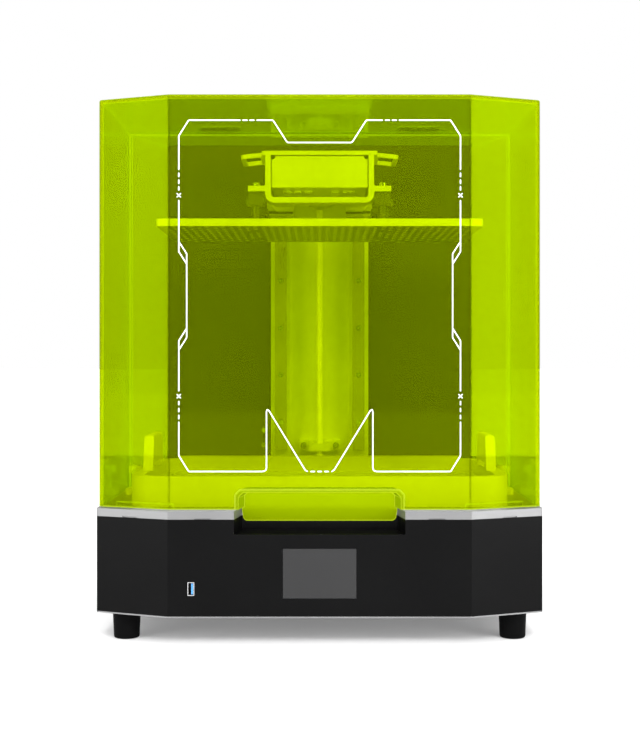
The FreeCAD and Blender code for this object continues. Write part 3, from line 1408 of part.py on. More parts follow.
def platform_top():
    """Top plate that closes the channel, with a looped finger grip drooping from each side."""
    plate = box(-COVER_HALF, COVER_HALF, TUBE_FRONT_Y, TUBE_REAR_Y, TUBE_TOP, TUBE_TOP + COVER_THICK)
    grips = []
    for side in (-1, 1):
        x0, x1 = sorted((side * (COVER_HALF - GRIP_ROOT), side * GRIP_OUTER))
        corners = [(x0, GRIP_FRONT_Y), (x1, GRIP_FRONT_Y), (x1, GRIP_REAR_Y), (x0, GRIP_REAR_Y)]
        ring = upright(corners, TUBE_TOP, TUBE_TOP + GRIP_BAR, GRIP_CORNER)
        hole = inset(corners, GRIP_BAR)
        ring = ring.cut(upright(hole, TUBE_TOP - 1, TUBE_TOP + GRIP_BAR + 1, GRIP_CORNER / 2))
        pivot = Vector(side * COVER_HALF, 0, TUBE_TOP + GRIP_BAR / 2)
        ring.rotate(pivot, Vector(0, 1, 0), side * GRIP_DROOP)
        grips.append(ring)
    return plate.fuse(grips).removeSplitter()


def build_plate():
    """Perforated aluminium plate that the prints hang from: staggered rows of short slots."""
    holes = []
    middle_y = (PLATE_FRONT_Y + PLATE_REAR_Y) / 2
    row_pitch = HOLE_PITCH_Y / 2
    rows = int((PLATE_REAR_Y - PLATE_FRONT_Y - 2 * HOLE_MARGIN) // row_pitch) + 1
    half_x = HOLE_WIDTH / 2
    half_y = HOLE_LENGTH / 2
    for row in range(rows):
        y = middle_y + (row - (rows - 1) / 2) * row_pitch
        odd = row % 2
        offset = odd * HOLE_PITCH_X / 2
        count = int((PLATE_HALF_X - HOLE_MARGIN - offset) // HOLE_PITCH_X)
        for i in range(-count - odd, count + 1):
            x = i * HOLE_PITCH_X + offset
            if screw_seat_near(x, y):
                continue
            corners = [(-half_x, -half_y), (half_x, -half_y), (half_x, half_y), (-half_x, half_y)]
            ring = [Vector(x + dx, y + dy, PLATE_UNDER) for dx, dy in corners]
            holes.append(loop(ring, half_x - 0.01))
    plan = rectangle(PLATE_HALF_X, PLATE_FRONT_Y, PLATE_REAR_Y)
    return upright(plan, PLATE_UNDER, PLATE_UPPER, PLATE_CORNER, holes)


def screw_seat_near(x, y):
    """True where a hole would run into a levelling post."""
    reach = POST_RADIUS + HOLE_WIDTH
    return any(abs(x - px) < reach and abs(y - py) < reach for px, py in level_places())


def level_posts():
    """Four stand-offs between the plate and the flanges: a square nut and collar on a round post."""
    solids = []
    for x, y in level_places():
        nut_half = POST_NUT_HALF
        nut = box(x - nut_half, x + nut_half, y - nut_half, y + nut_half, POST_COLLAR_TOP - 1, FLANGE_BOTTOM)
        half = POST_COLLAR_HALF
        collar = box(x - half, x + half, y - half, y + half, POST_COLLAR_BOTTOM, POST_COLLAR_TOP)
        room = box(-POST_CLEAR_X, POST_CLEAR_X, y - half, y + half, POST_COLLAR_BOTTOM, FLANGE_BOTTOM)
        head = nut.fuse(collar).cut(room)
        shaft = rod(POST_RADIUS, (x, y, PLATE_UPPER), (x, y, POST_COLLAR_BOTTOM + 1))
        bore = rod(LEVEL_SCREW_RADIUS + RUNNING_GAP, (x, y, PLATE_UPPER - 1), (x, y, FLANGE_BOTTOM + 1))
        solids.append(head.fuse(shaft).cut(bore).removeSplitter())
    return Part.makeCompound(solids)


def level_screw(x, y):
    """Socket-head levelling screw from the flange down to the plate."""
    seat = FLANGE_TOP + LEVEL_LIFT
    top = seat + LEVEL_HEAD_HEIGHT
    shank = rod(LEVEL_SCREW_RADIUS, (x, y, PLATE_UPPER + FREE_GAP), (x, y, seat + 1))
    head = rod(LEVEL_HEAD_RADIUS, (x, y, seat), (x, y, top))
    drive = rod(LEVEL_SOCKET_RADIUS, (x, y, seat + LEVEL_SOCKET_FLOOR), (x, y, top + 1))
    return shank.fuse(head).cut(drive).removeSplitter()


# ---- vat ------------------------------------------------------------------------------------------


def tank_hollow(z0, z1, play=0.0):
    """Solid that fills the tank's inside between two heights, less some play all round."""
    half = VAT_HALF_X - VAT_WALL - play
    front = VAT_FRONT_Y + VAT_FRONT_WALL + play
    return upright(rectangle(half, front, VAT_REAR_Y - VAT_WALL - play), z0, z1, VAT_CORNER - VAT_WALL)


def vat_window(z0, z1):
    """Cutter for the clear area that the light comes up through."""
    plan = rectangle(VAT_WINDOW_HALF, VAT_WINDOW_FRONT_Y, VAT_WINDOW_REAR_Y)
    return upright(plan, z0, z1, VAT_WINDOW_CORNER)


def vat_tank():
    """Moulded resin tank with rounded corners, a film ledge, a raised rear rim and two low ears."""
    outer = upright(rectangle(VAT_HALF_X, VAT_FRONT_Y, VAT_REAR_Y), VAT_BOTTOM, VAT_TOP, VAT_CORNER)
    lip_half = VAT_HALF_X - VAT_CORNER
    lip = box(-lip_half, lip_half, VAT_REAR_Y - VAT_WALL, VAT_REAR_Y, VAT_TOP - 1, VAT_TOP + VAT_REAR_LIP)
    tank = outer.fuse(lip).cut([tank_hollow(FILM_Z, VAT_TOP + 9), vat_window(VAT_BOTTOM - 1, FILM_Z + 1)])
    ears = []
    holes = []
    y0 = KNOB_Y - EAR_HALF_Y
    y1 = KNOB_Y + EAR_HALF_Y
    for side in (-1, 1):
        x = side * KNOB_X
        ear = upright(rectangle(KNOB_RADIUS + EAR_MARGIN, y0, y1), VAT_BOTTOM, EAR_TOP, EAR_CORNER)
        ear.translate(Vector(x, 0, 0))
        x0, x1 = sorted((side * (VAT_HALF_X - 2), x))
        ears.append(ear.fuse(box(x0, x1, y0, y1, VAT_BOTTOM, EAR_TOP)))
        holes.append(rod(STUD_RADIUS + FREE_GAP, (x, KNOB_Y, VAT_BOTTOM - 1), (x, KNOB_Y, EAR_TOP + 1)))
    return tank.fuse(ears).cut(holes).removeSplitter()


def vat_film():
    """Clear release film stretched over the tank's floor."""
    return tank_hollow(FILM_Z, FILM_Z + FILM_THICK, FILM_PLAY)


def film_screw_places():
    """Screws round the film frame, six along each long side and three along each short one."""
    x_edge = (VAT_HALF_X - VAT_WALL + VAT_WINDOW_HALF) / 2
    y_front = (VAT_FRONT_Y + VAT_FRONT_WALL + VAT_WINDOW_FRONT_Y) / 2
    y_rear = (VAT_REAR_Y - VAT_WALL + VAT_WINDOW_REAR_Y) / 2
    places = []
    for i in range(6):
        x = (i - 2.5) * 62.0
        places.append((x, y_front))
        places.append((x, y_rear))
    for i in range(3):
        y = (y_front + y_rear) / 2 + (i - 1) * 70.0
        places.append((-x_edge, y))
        places.append((x_edge, y))
    return places


def film_frame():
    """Metal frame that clamps the film, with sunk screw seats."""
    frame = tank_hollow(FILM_Z + FILM_THICK, FILM_FRAME_TOP, FILM_PLAY)
    cutters = [vat_window(FILM_Z, FILM_FRAME_TOP + 1)]
    low = FILM_FRAME_TOP - FILM_SCREW_SEAT
    for x, y in film_screw_places():
        cutters.append(rod(FILM_SCREW_RADIUS + FASTENER_GAP, (x, y, low), (x, y, FILM_FRAME_TOP + 1)))
    return frame.cut(cutters)


def film_screws():
    """Screw heads in the film frame."""
    solids = []
    seat = FILM_FRAME_TOP - FILM_SCREW_SEAT
    face = FILM_FRAME_TOP - FILM_SCREW_SINK
    socket = FILM_FRAME_TOP - FILM_SOCKET_DEPTH
    for x, y in film_screw_places():
        head = rod(FILM_SCREW_RADIUS, (x, y, seat), (x, y, face))
        drive = rod(FILM_SOCKET_RADIUS, (x, y, socket), (x, y, FILM_FRAME_TOP))
        solids.append(head.cut(drive))
    return Part.makeCompound(solids)


def vat_handles():
    """Two upright paddle grips on the side rims, scooped out on the outer side for the fingers."""
    y0 = VAT_GRIP_FRONT_Y
    y1 = VAT_GRIP_REAR_Y
    slope = VAT_GRIP_SLOPE
    leg = VAT_GRIP_LEG
    outer = [(y0, VAT_TOP), (y1, VAT_TOP), (y1 - slope, VAT_GRIP_TOP), (y0 + slope, VAT_GRIP_TOP)]
    scoop = [
        (y0 + leg, VAT_SLOT_BOTTOM),
        (y1 - leg, VAT_SLOT_BOTTOM),
        (y1 - leg - slope, VAT_SCOOP_TOP),
        (y0 + leg + slope, VAT_SCOOP_TOP),
    ]
    paddle = side_on(outer, VAT_GRIP_INNER_X, VAT_GRIP_OUTER_X)
    top_edges = [edge for edge in paddle.Edges if edge.BoundBox.ZMin > VAT_GRIP_TOP - 0.1]
    paddle = paddle.makeFillet(VAT_GRIP_EDGE, top_edges)
    hollow = side_on(scoop, VAT_GRIP_INNER_X + VAT_GRIP_SKIN, VAT_GRIP_OUTER_X + 1, VAT_SCOOP_CORNER)
    inset_y = leg + VAT_SLOT_INSET
    inner = VAT_GRIP_INNER_X - 1
    outer_x = VAT_GRIP_OUTER_X + 1
    under = box(inner, outer_x, y0 + inset_y, y1 - inset_y, VAT_SLOT_BOTTOM, VAT_SKIN_BOTTOM)
    paddle = paddle.cut([hollow, under]).removeSplitter()
    return Part.makeCompound([paddle, mirrored(paddle)])


def vat_knob(side):
    """Tall thumb screw that holds the vat down: a fluted head, a stem and a stud through the ear."""
    x = side * KNOB_X
    knob = rod(KNOB_RADIUS, (x, KNOB_Y, KNOB_BOTTOM), (x, KNOB_Y, KNOB_TOP))
    top_edges = [edge for edge in knob.Edges if edge.BoundBox.ZMin > KNOB_TOP - 0.1]
    knob = knob.makeFillet(KNOB_EDGE, top_edges)
    flutes = []
    for i in range(KNOB_FLUTES):
        angle = 2 * math.pi * i / KNOB_FLUTES
        fx = x + (KNOB_RADIUS + KNOB_FLUTE_OFFSET) * math.cos(angle)
        fy = KNOB_Y + (KNOB_RADIUS + KNOB_FLUTE_OFFSET) * math.sin(angle)
        flutes.append(rod(KNOB_FLUTE_RADIUS, (fx, fy, KNOB_BOTTOM - 1), (fx, fy, KNOB_TOP + 1)))
    stem = rod(KNOB_STEM_RADIUS, (x, KNOB_Y, EAR_TOP + FREE_GAP), (x, KNOB_Y, KNOB_BOTTOM + 1))
    stud = rod(STUD_RADIUS, (x, KNOB_Y, PLATE_TOP - STUD_DEPTH), (x, KNOB_Y, EAR_TOP + 1))
    return knob.cut(flutes).fuse([stem, stud]).removeSplitter()


# ---- write every node -----------------------------------------------------------------------------


def all_nodes():
    """Every sub-part by node name."""
    hood = clear_shell()
    usb_shell, usb_tongue = usb_socket()
    base_fan_frame, base_fan_rotor = fan(BASE_FAN_X, BASE_FAN_Z, BASE_FAN_SIZE)
    exhaust_fan_frame, exhaust_fan_rotor = fan(EXHAUST_X, EXHAUST_Z, EXHAUST_SIZE)
    hinge_fixed_leaves, hinge_lid_leaves, hinge_pins = hinges()
    nodes = {
        "base_shell": base_shell(),
        "top_plate": top_plate(),
        "bottom_pan": bottom_pan(),
        "feet": feet(),
        "foot_screws": foot_screws(),
        "touch_screen": touch_screen(),
        "usb_shell": usb_shell,
        "usb_tongue": usb_tongue,
        "power_inlet": power_inlet(),
        "power_rocker": power_rocker(),
        "base_fan_frame": base_fan_frame,
        "base_fan_rotor": base_fan_rotor,
        "exhaust_fan_frame": exhaust_fan_frame,
        "exhaust_fan_rotor": exhaust_fan_rotor,
        "lcd_panel": lcd_panel(),
        "lcd_bezel": lcd_bezel(),
        "light_engine_housing": light_engine_housing(),
        "led_board": led_board(),
        "lens_array": lens_array(),
        "heat_sink": heat_sink(),
        "main_board": main_board(),
        "power_supply": power_supply(),
        "rear_housing": rear_housing(),
        "back_panel": back_panel(),
        "carbon_filter": carbon_filter(),
        "rear_cover": rear_cover(hood),
        "lid_shell": lid_shell(hood),
        "lid_handle": lid_handle(),
        "hinge_fixed_leaves": hinge_fixed_leaves,
        "hinge_lid_leaves": hinge_lid_leaves,
        "hinge_pins": hinge_pins,
        "tower_frame": tower_frame(),
        "linear_rails": linear_rails(),
        "rail_screws": rail_screws(),
        "lower_bearing_block": bearing_block(BEARING_BOTTOM, BEARING_TOP),
        "upper_bearing_block": bearing_block(UPPER_BEARING_BOTTOM, UPPER_BEARING_TOP),
        "screw_bearings": bearing_rings(),
        "frame_screws": frame_screws(),
        "z_motor": z_motor(),
        "lead_screw": lead_screw(),
        "carriage_blocks": carriage_blocks(),
        "block_end_caps": block_end_caps(),
        "carriage_plate": carriage_plate(),
        "lead_nut": lead_nut(),
        "platform_arm": platform_arm(),
        "platform_bracket": platform_bracket(),
        "platform_top": platform_top(),
        "build_plate": build_plate(),
        "level_posts": level_posts(),
        "vat_tank": vat_tank(),
        "vat_film": vat_film(),
        "film_frame": film_frame(),
        "film_screws": film_screws(),
        "vat_handles": vat_handles(),
        "vat_knob_left": vat_knob(-1),
        "vat_knob_right": vat_knob(1),
    }
    for x, y in level_places():
        side = "left" if x < 0 else "right"
        end = "front" if y == LEVEL_FRONT_Y else "rear"
        nodes[f"level_screw_{side}_{end}"] = level_screw(x, y)
    return nodes


os.makedirs("parts", exist_ok=True)
for node_name, shape in all_nodes().items():
    shape.exportStep("parts/" + node_name + ".step")
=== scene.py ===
import json
import math

import bmesh
import bpy
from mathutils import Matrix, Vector


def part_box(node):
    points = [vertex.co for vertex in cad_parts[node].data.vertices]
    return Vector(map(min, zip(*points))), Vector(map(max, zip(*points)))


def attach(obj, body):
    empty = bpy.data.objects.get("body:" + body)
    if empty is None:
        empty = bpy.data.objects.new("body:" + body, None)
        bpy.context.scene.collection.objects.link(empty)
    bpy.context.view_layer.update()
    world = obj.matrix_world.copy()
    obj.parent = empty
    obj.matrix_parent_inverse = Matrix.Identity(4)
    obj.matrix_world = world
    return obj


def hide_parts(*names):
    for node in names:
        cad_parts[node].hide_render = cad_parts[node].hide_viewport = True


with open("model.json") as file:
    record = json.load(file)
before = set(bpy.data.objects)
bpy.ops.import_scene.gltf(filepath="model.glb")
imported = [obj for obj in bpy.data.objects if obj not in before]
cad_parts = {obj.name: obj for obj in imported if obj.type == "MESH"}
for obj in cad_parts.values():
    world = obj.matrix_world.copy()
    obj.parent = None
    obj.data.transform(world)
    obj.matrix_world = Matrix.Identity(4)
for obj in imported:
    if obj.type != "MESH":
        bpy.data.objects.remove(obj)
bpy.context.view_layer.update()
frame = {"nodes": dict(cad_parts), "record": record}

# Metres, in the frame's own axes: +X right, +Y back, +Z up. Places come from the frame's boxes.
MM = 0.001


# ---- material helpers ---------------------------------------------------------------------------

# How much of a finish's mottling comes from its fine grain, and how strongly the grain stands out.
GRAIN_SHARE = 0.4
BUMP_STRENGTH = 0.6

# Clear walls' painted edge lines: the rounding that finds their edges, and where each range starts and ends.
# Bright edge lines are painted highlights; dark corner lines are painted shade.
WALL_BEND = 2.8 * MM
FACES_FRONT = (0.9, 0.96)
EDGE_IS_UPRIGHT = (0.2, 0.05)
CORNER_SHADE_LINE = (0.997, 0.985)
EDGE_HIGHLIGHT_LINE = (0.99, 0.9)
EDGE_FADE = 5 * MM
EDGE_HIGHLIGHT_SHARE = 0.8
MOST_REFLECTION = 0.45

# Fine upright scratches in clear walls: cells per metre, how they are drawn out, and what they add.
SCRATCH_SCALE = 160.0
SCRATCH_STRETCH = (1, 1, 0.08)
SCRATCH_ROUGHNESS = 0.03

# The part of a noise's range that most of its values are in.
NOISE_MIDDLE = (0.3, 0.7)


def new_tree(name):
    """An empty node tree for a material, with its output and a position in object space."""
    material = bpy.data.materials.new(name)
    material.use_nodes = True
    tree = material.node_tree
    tree.nodes.clear()
    output = tree.nodes.new("ShaderNodeOutputMaterial")
    place = tree.nodes.new("ShaderNodeTexCoord").outputs["Object"]
    return material, tree, output, place


def add(tree, kind, **inputs):
    """A node of that kind with its sockets set: numbers are typed in, sockets are linked."""
    node = tree.nodes.new(kind)
    for key, value in inputs.items():
        socket = node.inputs[key.replace("_", " ")]
        if isinstance(value, bpy.types.NodeSocket):
            tree.links.new(value, socket)
        else:
            socket.default_value = value
    return node


def noise(tree, place, scale, detail=3.0, stretch=(1, 1, 1)):
    """Noise value at that many cells per metre, drawn out along an axis by a small stretch value."""
    if stretch != (1, 1, 1):
        place = add(tree, "ShaderNodeMapping", Vector=place, Scale=stretch).outputs["Vector"]
    return add(tree, "ShaderNodeTexNoise", Vector=place, Scale=scale, Detail=detail).outputs["Fac"]


def ramp(tree, value, low, high):
    """Colour that runs from low to high over the middle of a noise's range."""
    node = tree.nodes.new("ShaderNodeValToRGB")
    tree.links.new(value, node.inputs["Fac"])
    stops = node.color_ramp.elements
    stops[0].position, stops[1].position = NOISE_MIDDLE
    stops[0].color = (*low, 1.0)
    stops[1].color = (*high, 1.0)
    return node.outputs["Color"]


def spread(tree, value, low, high):
    """Number that runs from low to high over the middle of a noise's range."""
    start, end = NOISE_MIDDLE
    node = add(tree, "ShaderNodeMapRange", Value=value, From_Min=start, From_Max=end, To_Min=low, To_Max=high)
    return node.outputs["Result"]


def soft_edges(tree, radius):
    """Shading normal with the solid's sharp edges rounded off."""
    node = tree.nodes.new("ShaderNodeBevel")
    node.samples = 4
    node.inputs["Radius"].default_value = radius
    return node.outputs["Normal"]


def math_node(tree, operation, first, *others):
    """Result of a maths node on a socket and, where given, other sockets or numbers."""
    node = add(tree, "ShaderNodeMath", Value=first)
    node.operation = operation
    for socket, value in zip(node.inputs[1:], others):
        if isinstance(value, bpy.types.NodeSocket):
            tree.links.new(value, socket)
        else:
            socket.default_value = value
    return node.outputs[0]


def mix_shaders(tree, share, first, second):
    """Shader that goes from the first to the second as the share goes from 0 to 1."""
    node = add(tree, "ShaderNodeMixShader", Fac=share)
    tree.links.new(first, node.inputs[1])
    tree.links.new(second, node.inputs[2])
    return node.outputs[0]


def finish_material(
    name,
    dark,
    light,
    roughness,
    grain=900.0,
    depth=0.00002,
    stretch=(1, 1, 1),
    edge=0.0004,
    blotch=14.0,
    **shader_inputs,
):
    """Opaque finish: mottled colour and roughness, a fine grain in relief, and rounded edges."""
    material, tree, output, place = new_tree(name)
    wide = noise(tree, place, blotch, 4.0)
    fine = noise(tree, place, grain, 2.0, stretch)
    grainy = math_node(tree, "MULTIPLY", fine, GRAIN_SHARE)
    blend = math_node(tree, "MULTIPLY_ADD", wide, 1.0 - GRAIN_SHARE, grainy)
    colour = ramp(tree, blend, dark, light)
    rough = spread(tree, blend, *roughness)
    bump = add(tree, "ShaderNodeBump", Height=fine, Strength=BUMP_STRENGTH, Distance=depth)
    if edge:
        tree.links.new(soft_edges(tree, edge), bump.inputs["Normal"])
    shader = add(
        tree,
        "ShaderNodeBsdfPrincipled",
        Base_Color=colour,
        Roughness=rough,
        Normal=bump.outputs[0],
        **shader_inputs,
    )
    tree.links.new(shader.outputs[0], output.inputs["Surface"])
    return material


def edge_bend(tree, radius):
    """Agreement of the rounded normal with the flat one (1 away from edges), and the rounded normal."""
    rounded = soft_edges(tree, radius)
    flat = tree.nodes.new("ShaderNodeNewGeometry").outputs["Normal"]
    agreement = tree.nodes.new("ShaderNodeVectorMath")
    agreement.operation = "DOT_PRODUCT"
    tree.links.new(rounded, agreement.inputs[0])
    tree.links.new(flat, agreement.inputs[1])
    return agreement.outputs["Value"], rounded


def scaled_range(tree, value, start, end):
    """Number that goes from 0 to 1 as the value goes from start to end."""
    node = add(tree, "ShaderNodeMapRange", Value=value, From_Min=start, From_Max=end)
    return node.outputs["Result"]


def painted_edge_light_and_shade(tree, place, inside, highlight_colour, painted_shade_colour, rear_limit):
    """Painted highlights as glowing lines along the wall's edges up to the rear limit, and painted shade as
    dark lines on the front's corners.
    """
    agreement, rounded = edge_bend(tree, WALL_BEND)
    axes = add(tree, "ShaderNodeSeparateXYZ", Vector=rounded)
    frontal = scaled_range(tree, math_node(tree, "ABSOLUTE", axes.outputs["Y"]), *FACES_FRONT)
    upright = scaled_range(tree, math_node(tree, "ABSOLUTE", axes.outputs["Z"]), *EDGE_IS_UPRIGHT)
    corner = math_node(tree, "MULTIPLY", frontal, upright)
    shade_share = math_node(tree, "MULTIPLY", corner, scaled_range(tree, agreement, *CORNER_SHADE_LINE))
    depth = add(tree, "ShaderNodeSeparateXYZ", Vector=place).outputs["Y"]
    in_front = scaled_range(tree, depth, rear_limit, rear_limit - EDGE_FADE)
    near = math_node(tree, "MULTIPLY", scaled_range(tree, agreement, *EDGE_HIGHLIGHT_LINE), in_front)
    line = math_node(tree, "SUBTRACT", near, shade_share)
    # Painted highlight: emission along the edge lines, glowing though they are no lamp.
    glow = add(tree, "ShaderNodeEmission", Color=(*highlight_colour, 1.0), Strength=1.0)
    # Painted shade: a dark see-through filter on the front's corner lines.
    shade = add(tree, "ShaderNodeBsdfTransparent", Color=(*painted_shade_colour, 1.0))
    highlight_share = math_node(tree, "MULTIPLY", line, EDGE_HIGHLIGHT_SHARE)
    bright = mix_shaders(tree, highlight_share, inside, glow.outputs[0])
    return mix_shaders(tree, shade_share, bright, shade.outputs[0])


def clear_material(name, tint_low, tint_high, veil, veil_share, roughness, shine, ior=1.45, edges=None):
    """See-through coloured plastic: it tints what is behind it, has a faint milky veil and is glossy.

    Lamps and scattered light pass straight through it, so what is inside is lit as if it were not there.
    """
    material, tree, output, place = new_tree(name)
    tint = ramp(tree, noise(tree, place, 3.0, 2.0), tint_low, tint_high)
    through = add(tree, "ShaderNodeBsdfTransparent", Color=tint)
    scratches = noise(tree, place, SCRATCH_SCALE, 3.0, SCRATCH_STRETCH)
    rough = spread(tree, scratches, roughness, roughness + SCRATCH_ROUGHNESS)
    lit_side = add(tree, "ShaderNodeBsdfDiffuse", Color=(*veil, 1.0))
    far_side = add(tree, "ShaderNodeBsdfTranslucent", Color=(*veil, 1.0))
    haze = mix_shaders(tree, 0.5, lit_side.outputs[0], far_side.outputs[0])
    wall = mix_shaders(tree, veil_share, through.outputs[0], haze)
    # Where edges are given, the wall gets painted highlight lines along its edges and painted shade lines on
    # the front's corners.
    if edges:
        wall = painted_edge_light_and_shade(tree, place, wall, *edges)
    gloss = add(tree, "ShaderNodeBsdfGlossy", Color=(*shine, 1.0), Roughness=rough)
    reflection = add(tree, "ShaderNodeFresnel", IOR=ior).outputs[0]
    facing = math_node(tree, "MINIMUM", reflection, MOST_REFLECTION)
    skin = mix_shaders(tree, facing, wall, gloss.outputs[0])
    path = tree.nodes.new("ShaderNodeLightPath").outputs
    lighting = math_node(tree, "MAXIMUM", path["Is Shadow Ray"], path["Is Diffuse Ray"])
    nothing = add(tree, "ShaderNodeBsdfTransparent", Color=(1, 1, 1, 1))
    surface = mix_shaders(tree, lighting, skin, nothing.outputs[0])
    tree.links.new(surface, output.inputs["Surface"])
    return material


def blend_by(tree, share, first, second):
    """Colour that goes from the first to the second as the share goes from 0 to 1."""
    node = tree.nodes.new("ShaderNodeMix")
    node.data_type = "RGBA"
    tree.links.new(share, node.inputs["Factor"])
    tree.links.new(first, node.inputs[6])
    tree.links.new(second, node.inputs[7])
    return node.outputs[2]


# Facing range, of the normal's height, over which a surface becomes an underside and gets painted shade.
FACES_DOWN = (-0.4, -0.8)


def underside_shaded_finish(name, dark, light, shade_dark, shade_light):
    """Satin aluminium whose underside is painted dark as shade where it faces down."""
    material, tree, output, place = new_tree(name)
    wide = noise(tree, place, 14.0, 4.0)
    fine = noise(tree, place, 2200.0, 2.0)
    normal = tree.nodes.new("ShaderNodeNewGeometry").outputs["Normal"]
    height = add(tree, "ShaderNodeSeparateXYZ", Vector=normal).outputs["Z"]
    # Painted shade: share of the dark colours, rising as the surface faces down.
    under = scaled_range(tree, height, *FACES_DOWN)
    above = ramp(tree, wide, dark, light)
    below = ramp(tree, wide, shade_dark, shade_light)
    colour = blend_by(tree, under, above, below)
    rough = spread(tree, wide, 0.38, 0.48)
    bump = add(tree, "ShaderNodeBump", Height=fine, Strength=BUMP_STRENGTH, Distance=0.02 * MM)
    tree.links.new(soft_edges(tree, 0.8 * MM), bump.inputs["Normal"])
    shader = add(
        tree,
        "ShaderNodeBsdfPrincipled",
        Base_Color=colour,
        Roughness=rough,
        Normal=bump.outputs[0],
        Metallic=0.5,
    )
    tree.links.new(shader.outputs[0], output.inputs["Surface"])
    return material


# Painted shade inside the USB shell: how far behind its front rim it starts, over what depth it fades in, and
# how much the rim's own colour varies.
RIM_DEPTH = 0.5 * MM
RIM_FADE = 0.4 * MM
RIM_DIM = 0.85


def inside_shaded_finish(name, face, rim_y):
    """Pressed steel that is bright at its front rim and dark inside, where the darkness is painted shade."""
    material, tree, output, place = new_tree(name)
    wide = noise(tree, place, 400.0, 2.0)
    depth = add(tree, "ShaderNodeSeparateXYZ", Vector=place).outputs["Y"]
    # Painted shade: share that turns the steel dark behind the rim.
    inside = scaled_range(tree, depth, rim_y, rim_y + RIM_FADE)
    dim = tuple(RIM_DIM * c for c in face)
    bright = ramp(tree, wide, dim, face)
    shadow = ramp(tree, wide, (0.01, 0.01, 0.01), (0.014, 0.014, 0.014))
    colour = blend_by(tree, inside, bright, shadow)
    rough = spread(tree, wide, 0.3, 0.4)
    shader = add(tree, "ShaderNodeBsdfPrincipled", Base_Color=colour, Roughness=rough, Metallic=0.3)
    tree.links.new(shader.outputs[0], output.inputs["Surface"])
    return material


# ---- materials ----------------------------------------------------------------------------------

BRUSH_X = (0.05, 1, 1)
BRUSH_Z = (1, 1, 0.05)

# Painted highlight and painted shade on the clear walls' edges, and how far back edges show: to just before
# the back panel.
EDGE_SHADE = (0.3, 0.36, 0.0)
EDGE_REAR = 125 * MM
CLEAR_EDGE_LIGHT_AND_SHADE = ((0.75, 0.95, 0.06), EDGE_SHADE, EDGE_REAR)
HANDLE_EDGE_LIGHT_AND_SHADE = ((0.6, 0.76, 0.03), EDGE_SHADE, EDGE_REAR)
LID_SHINE = (0.5, 0.62, 0.0)

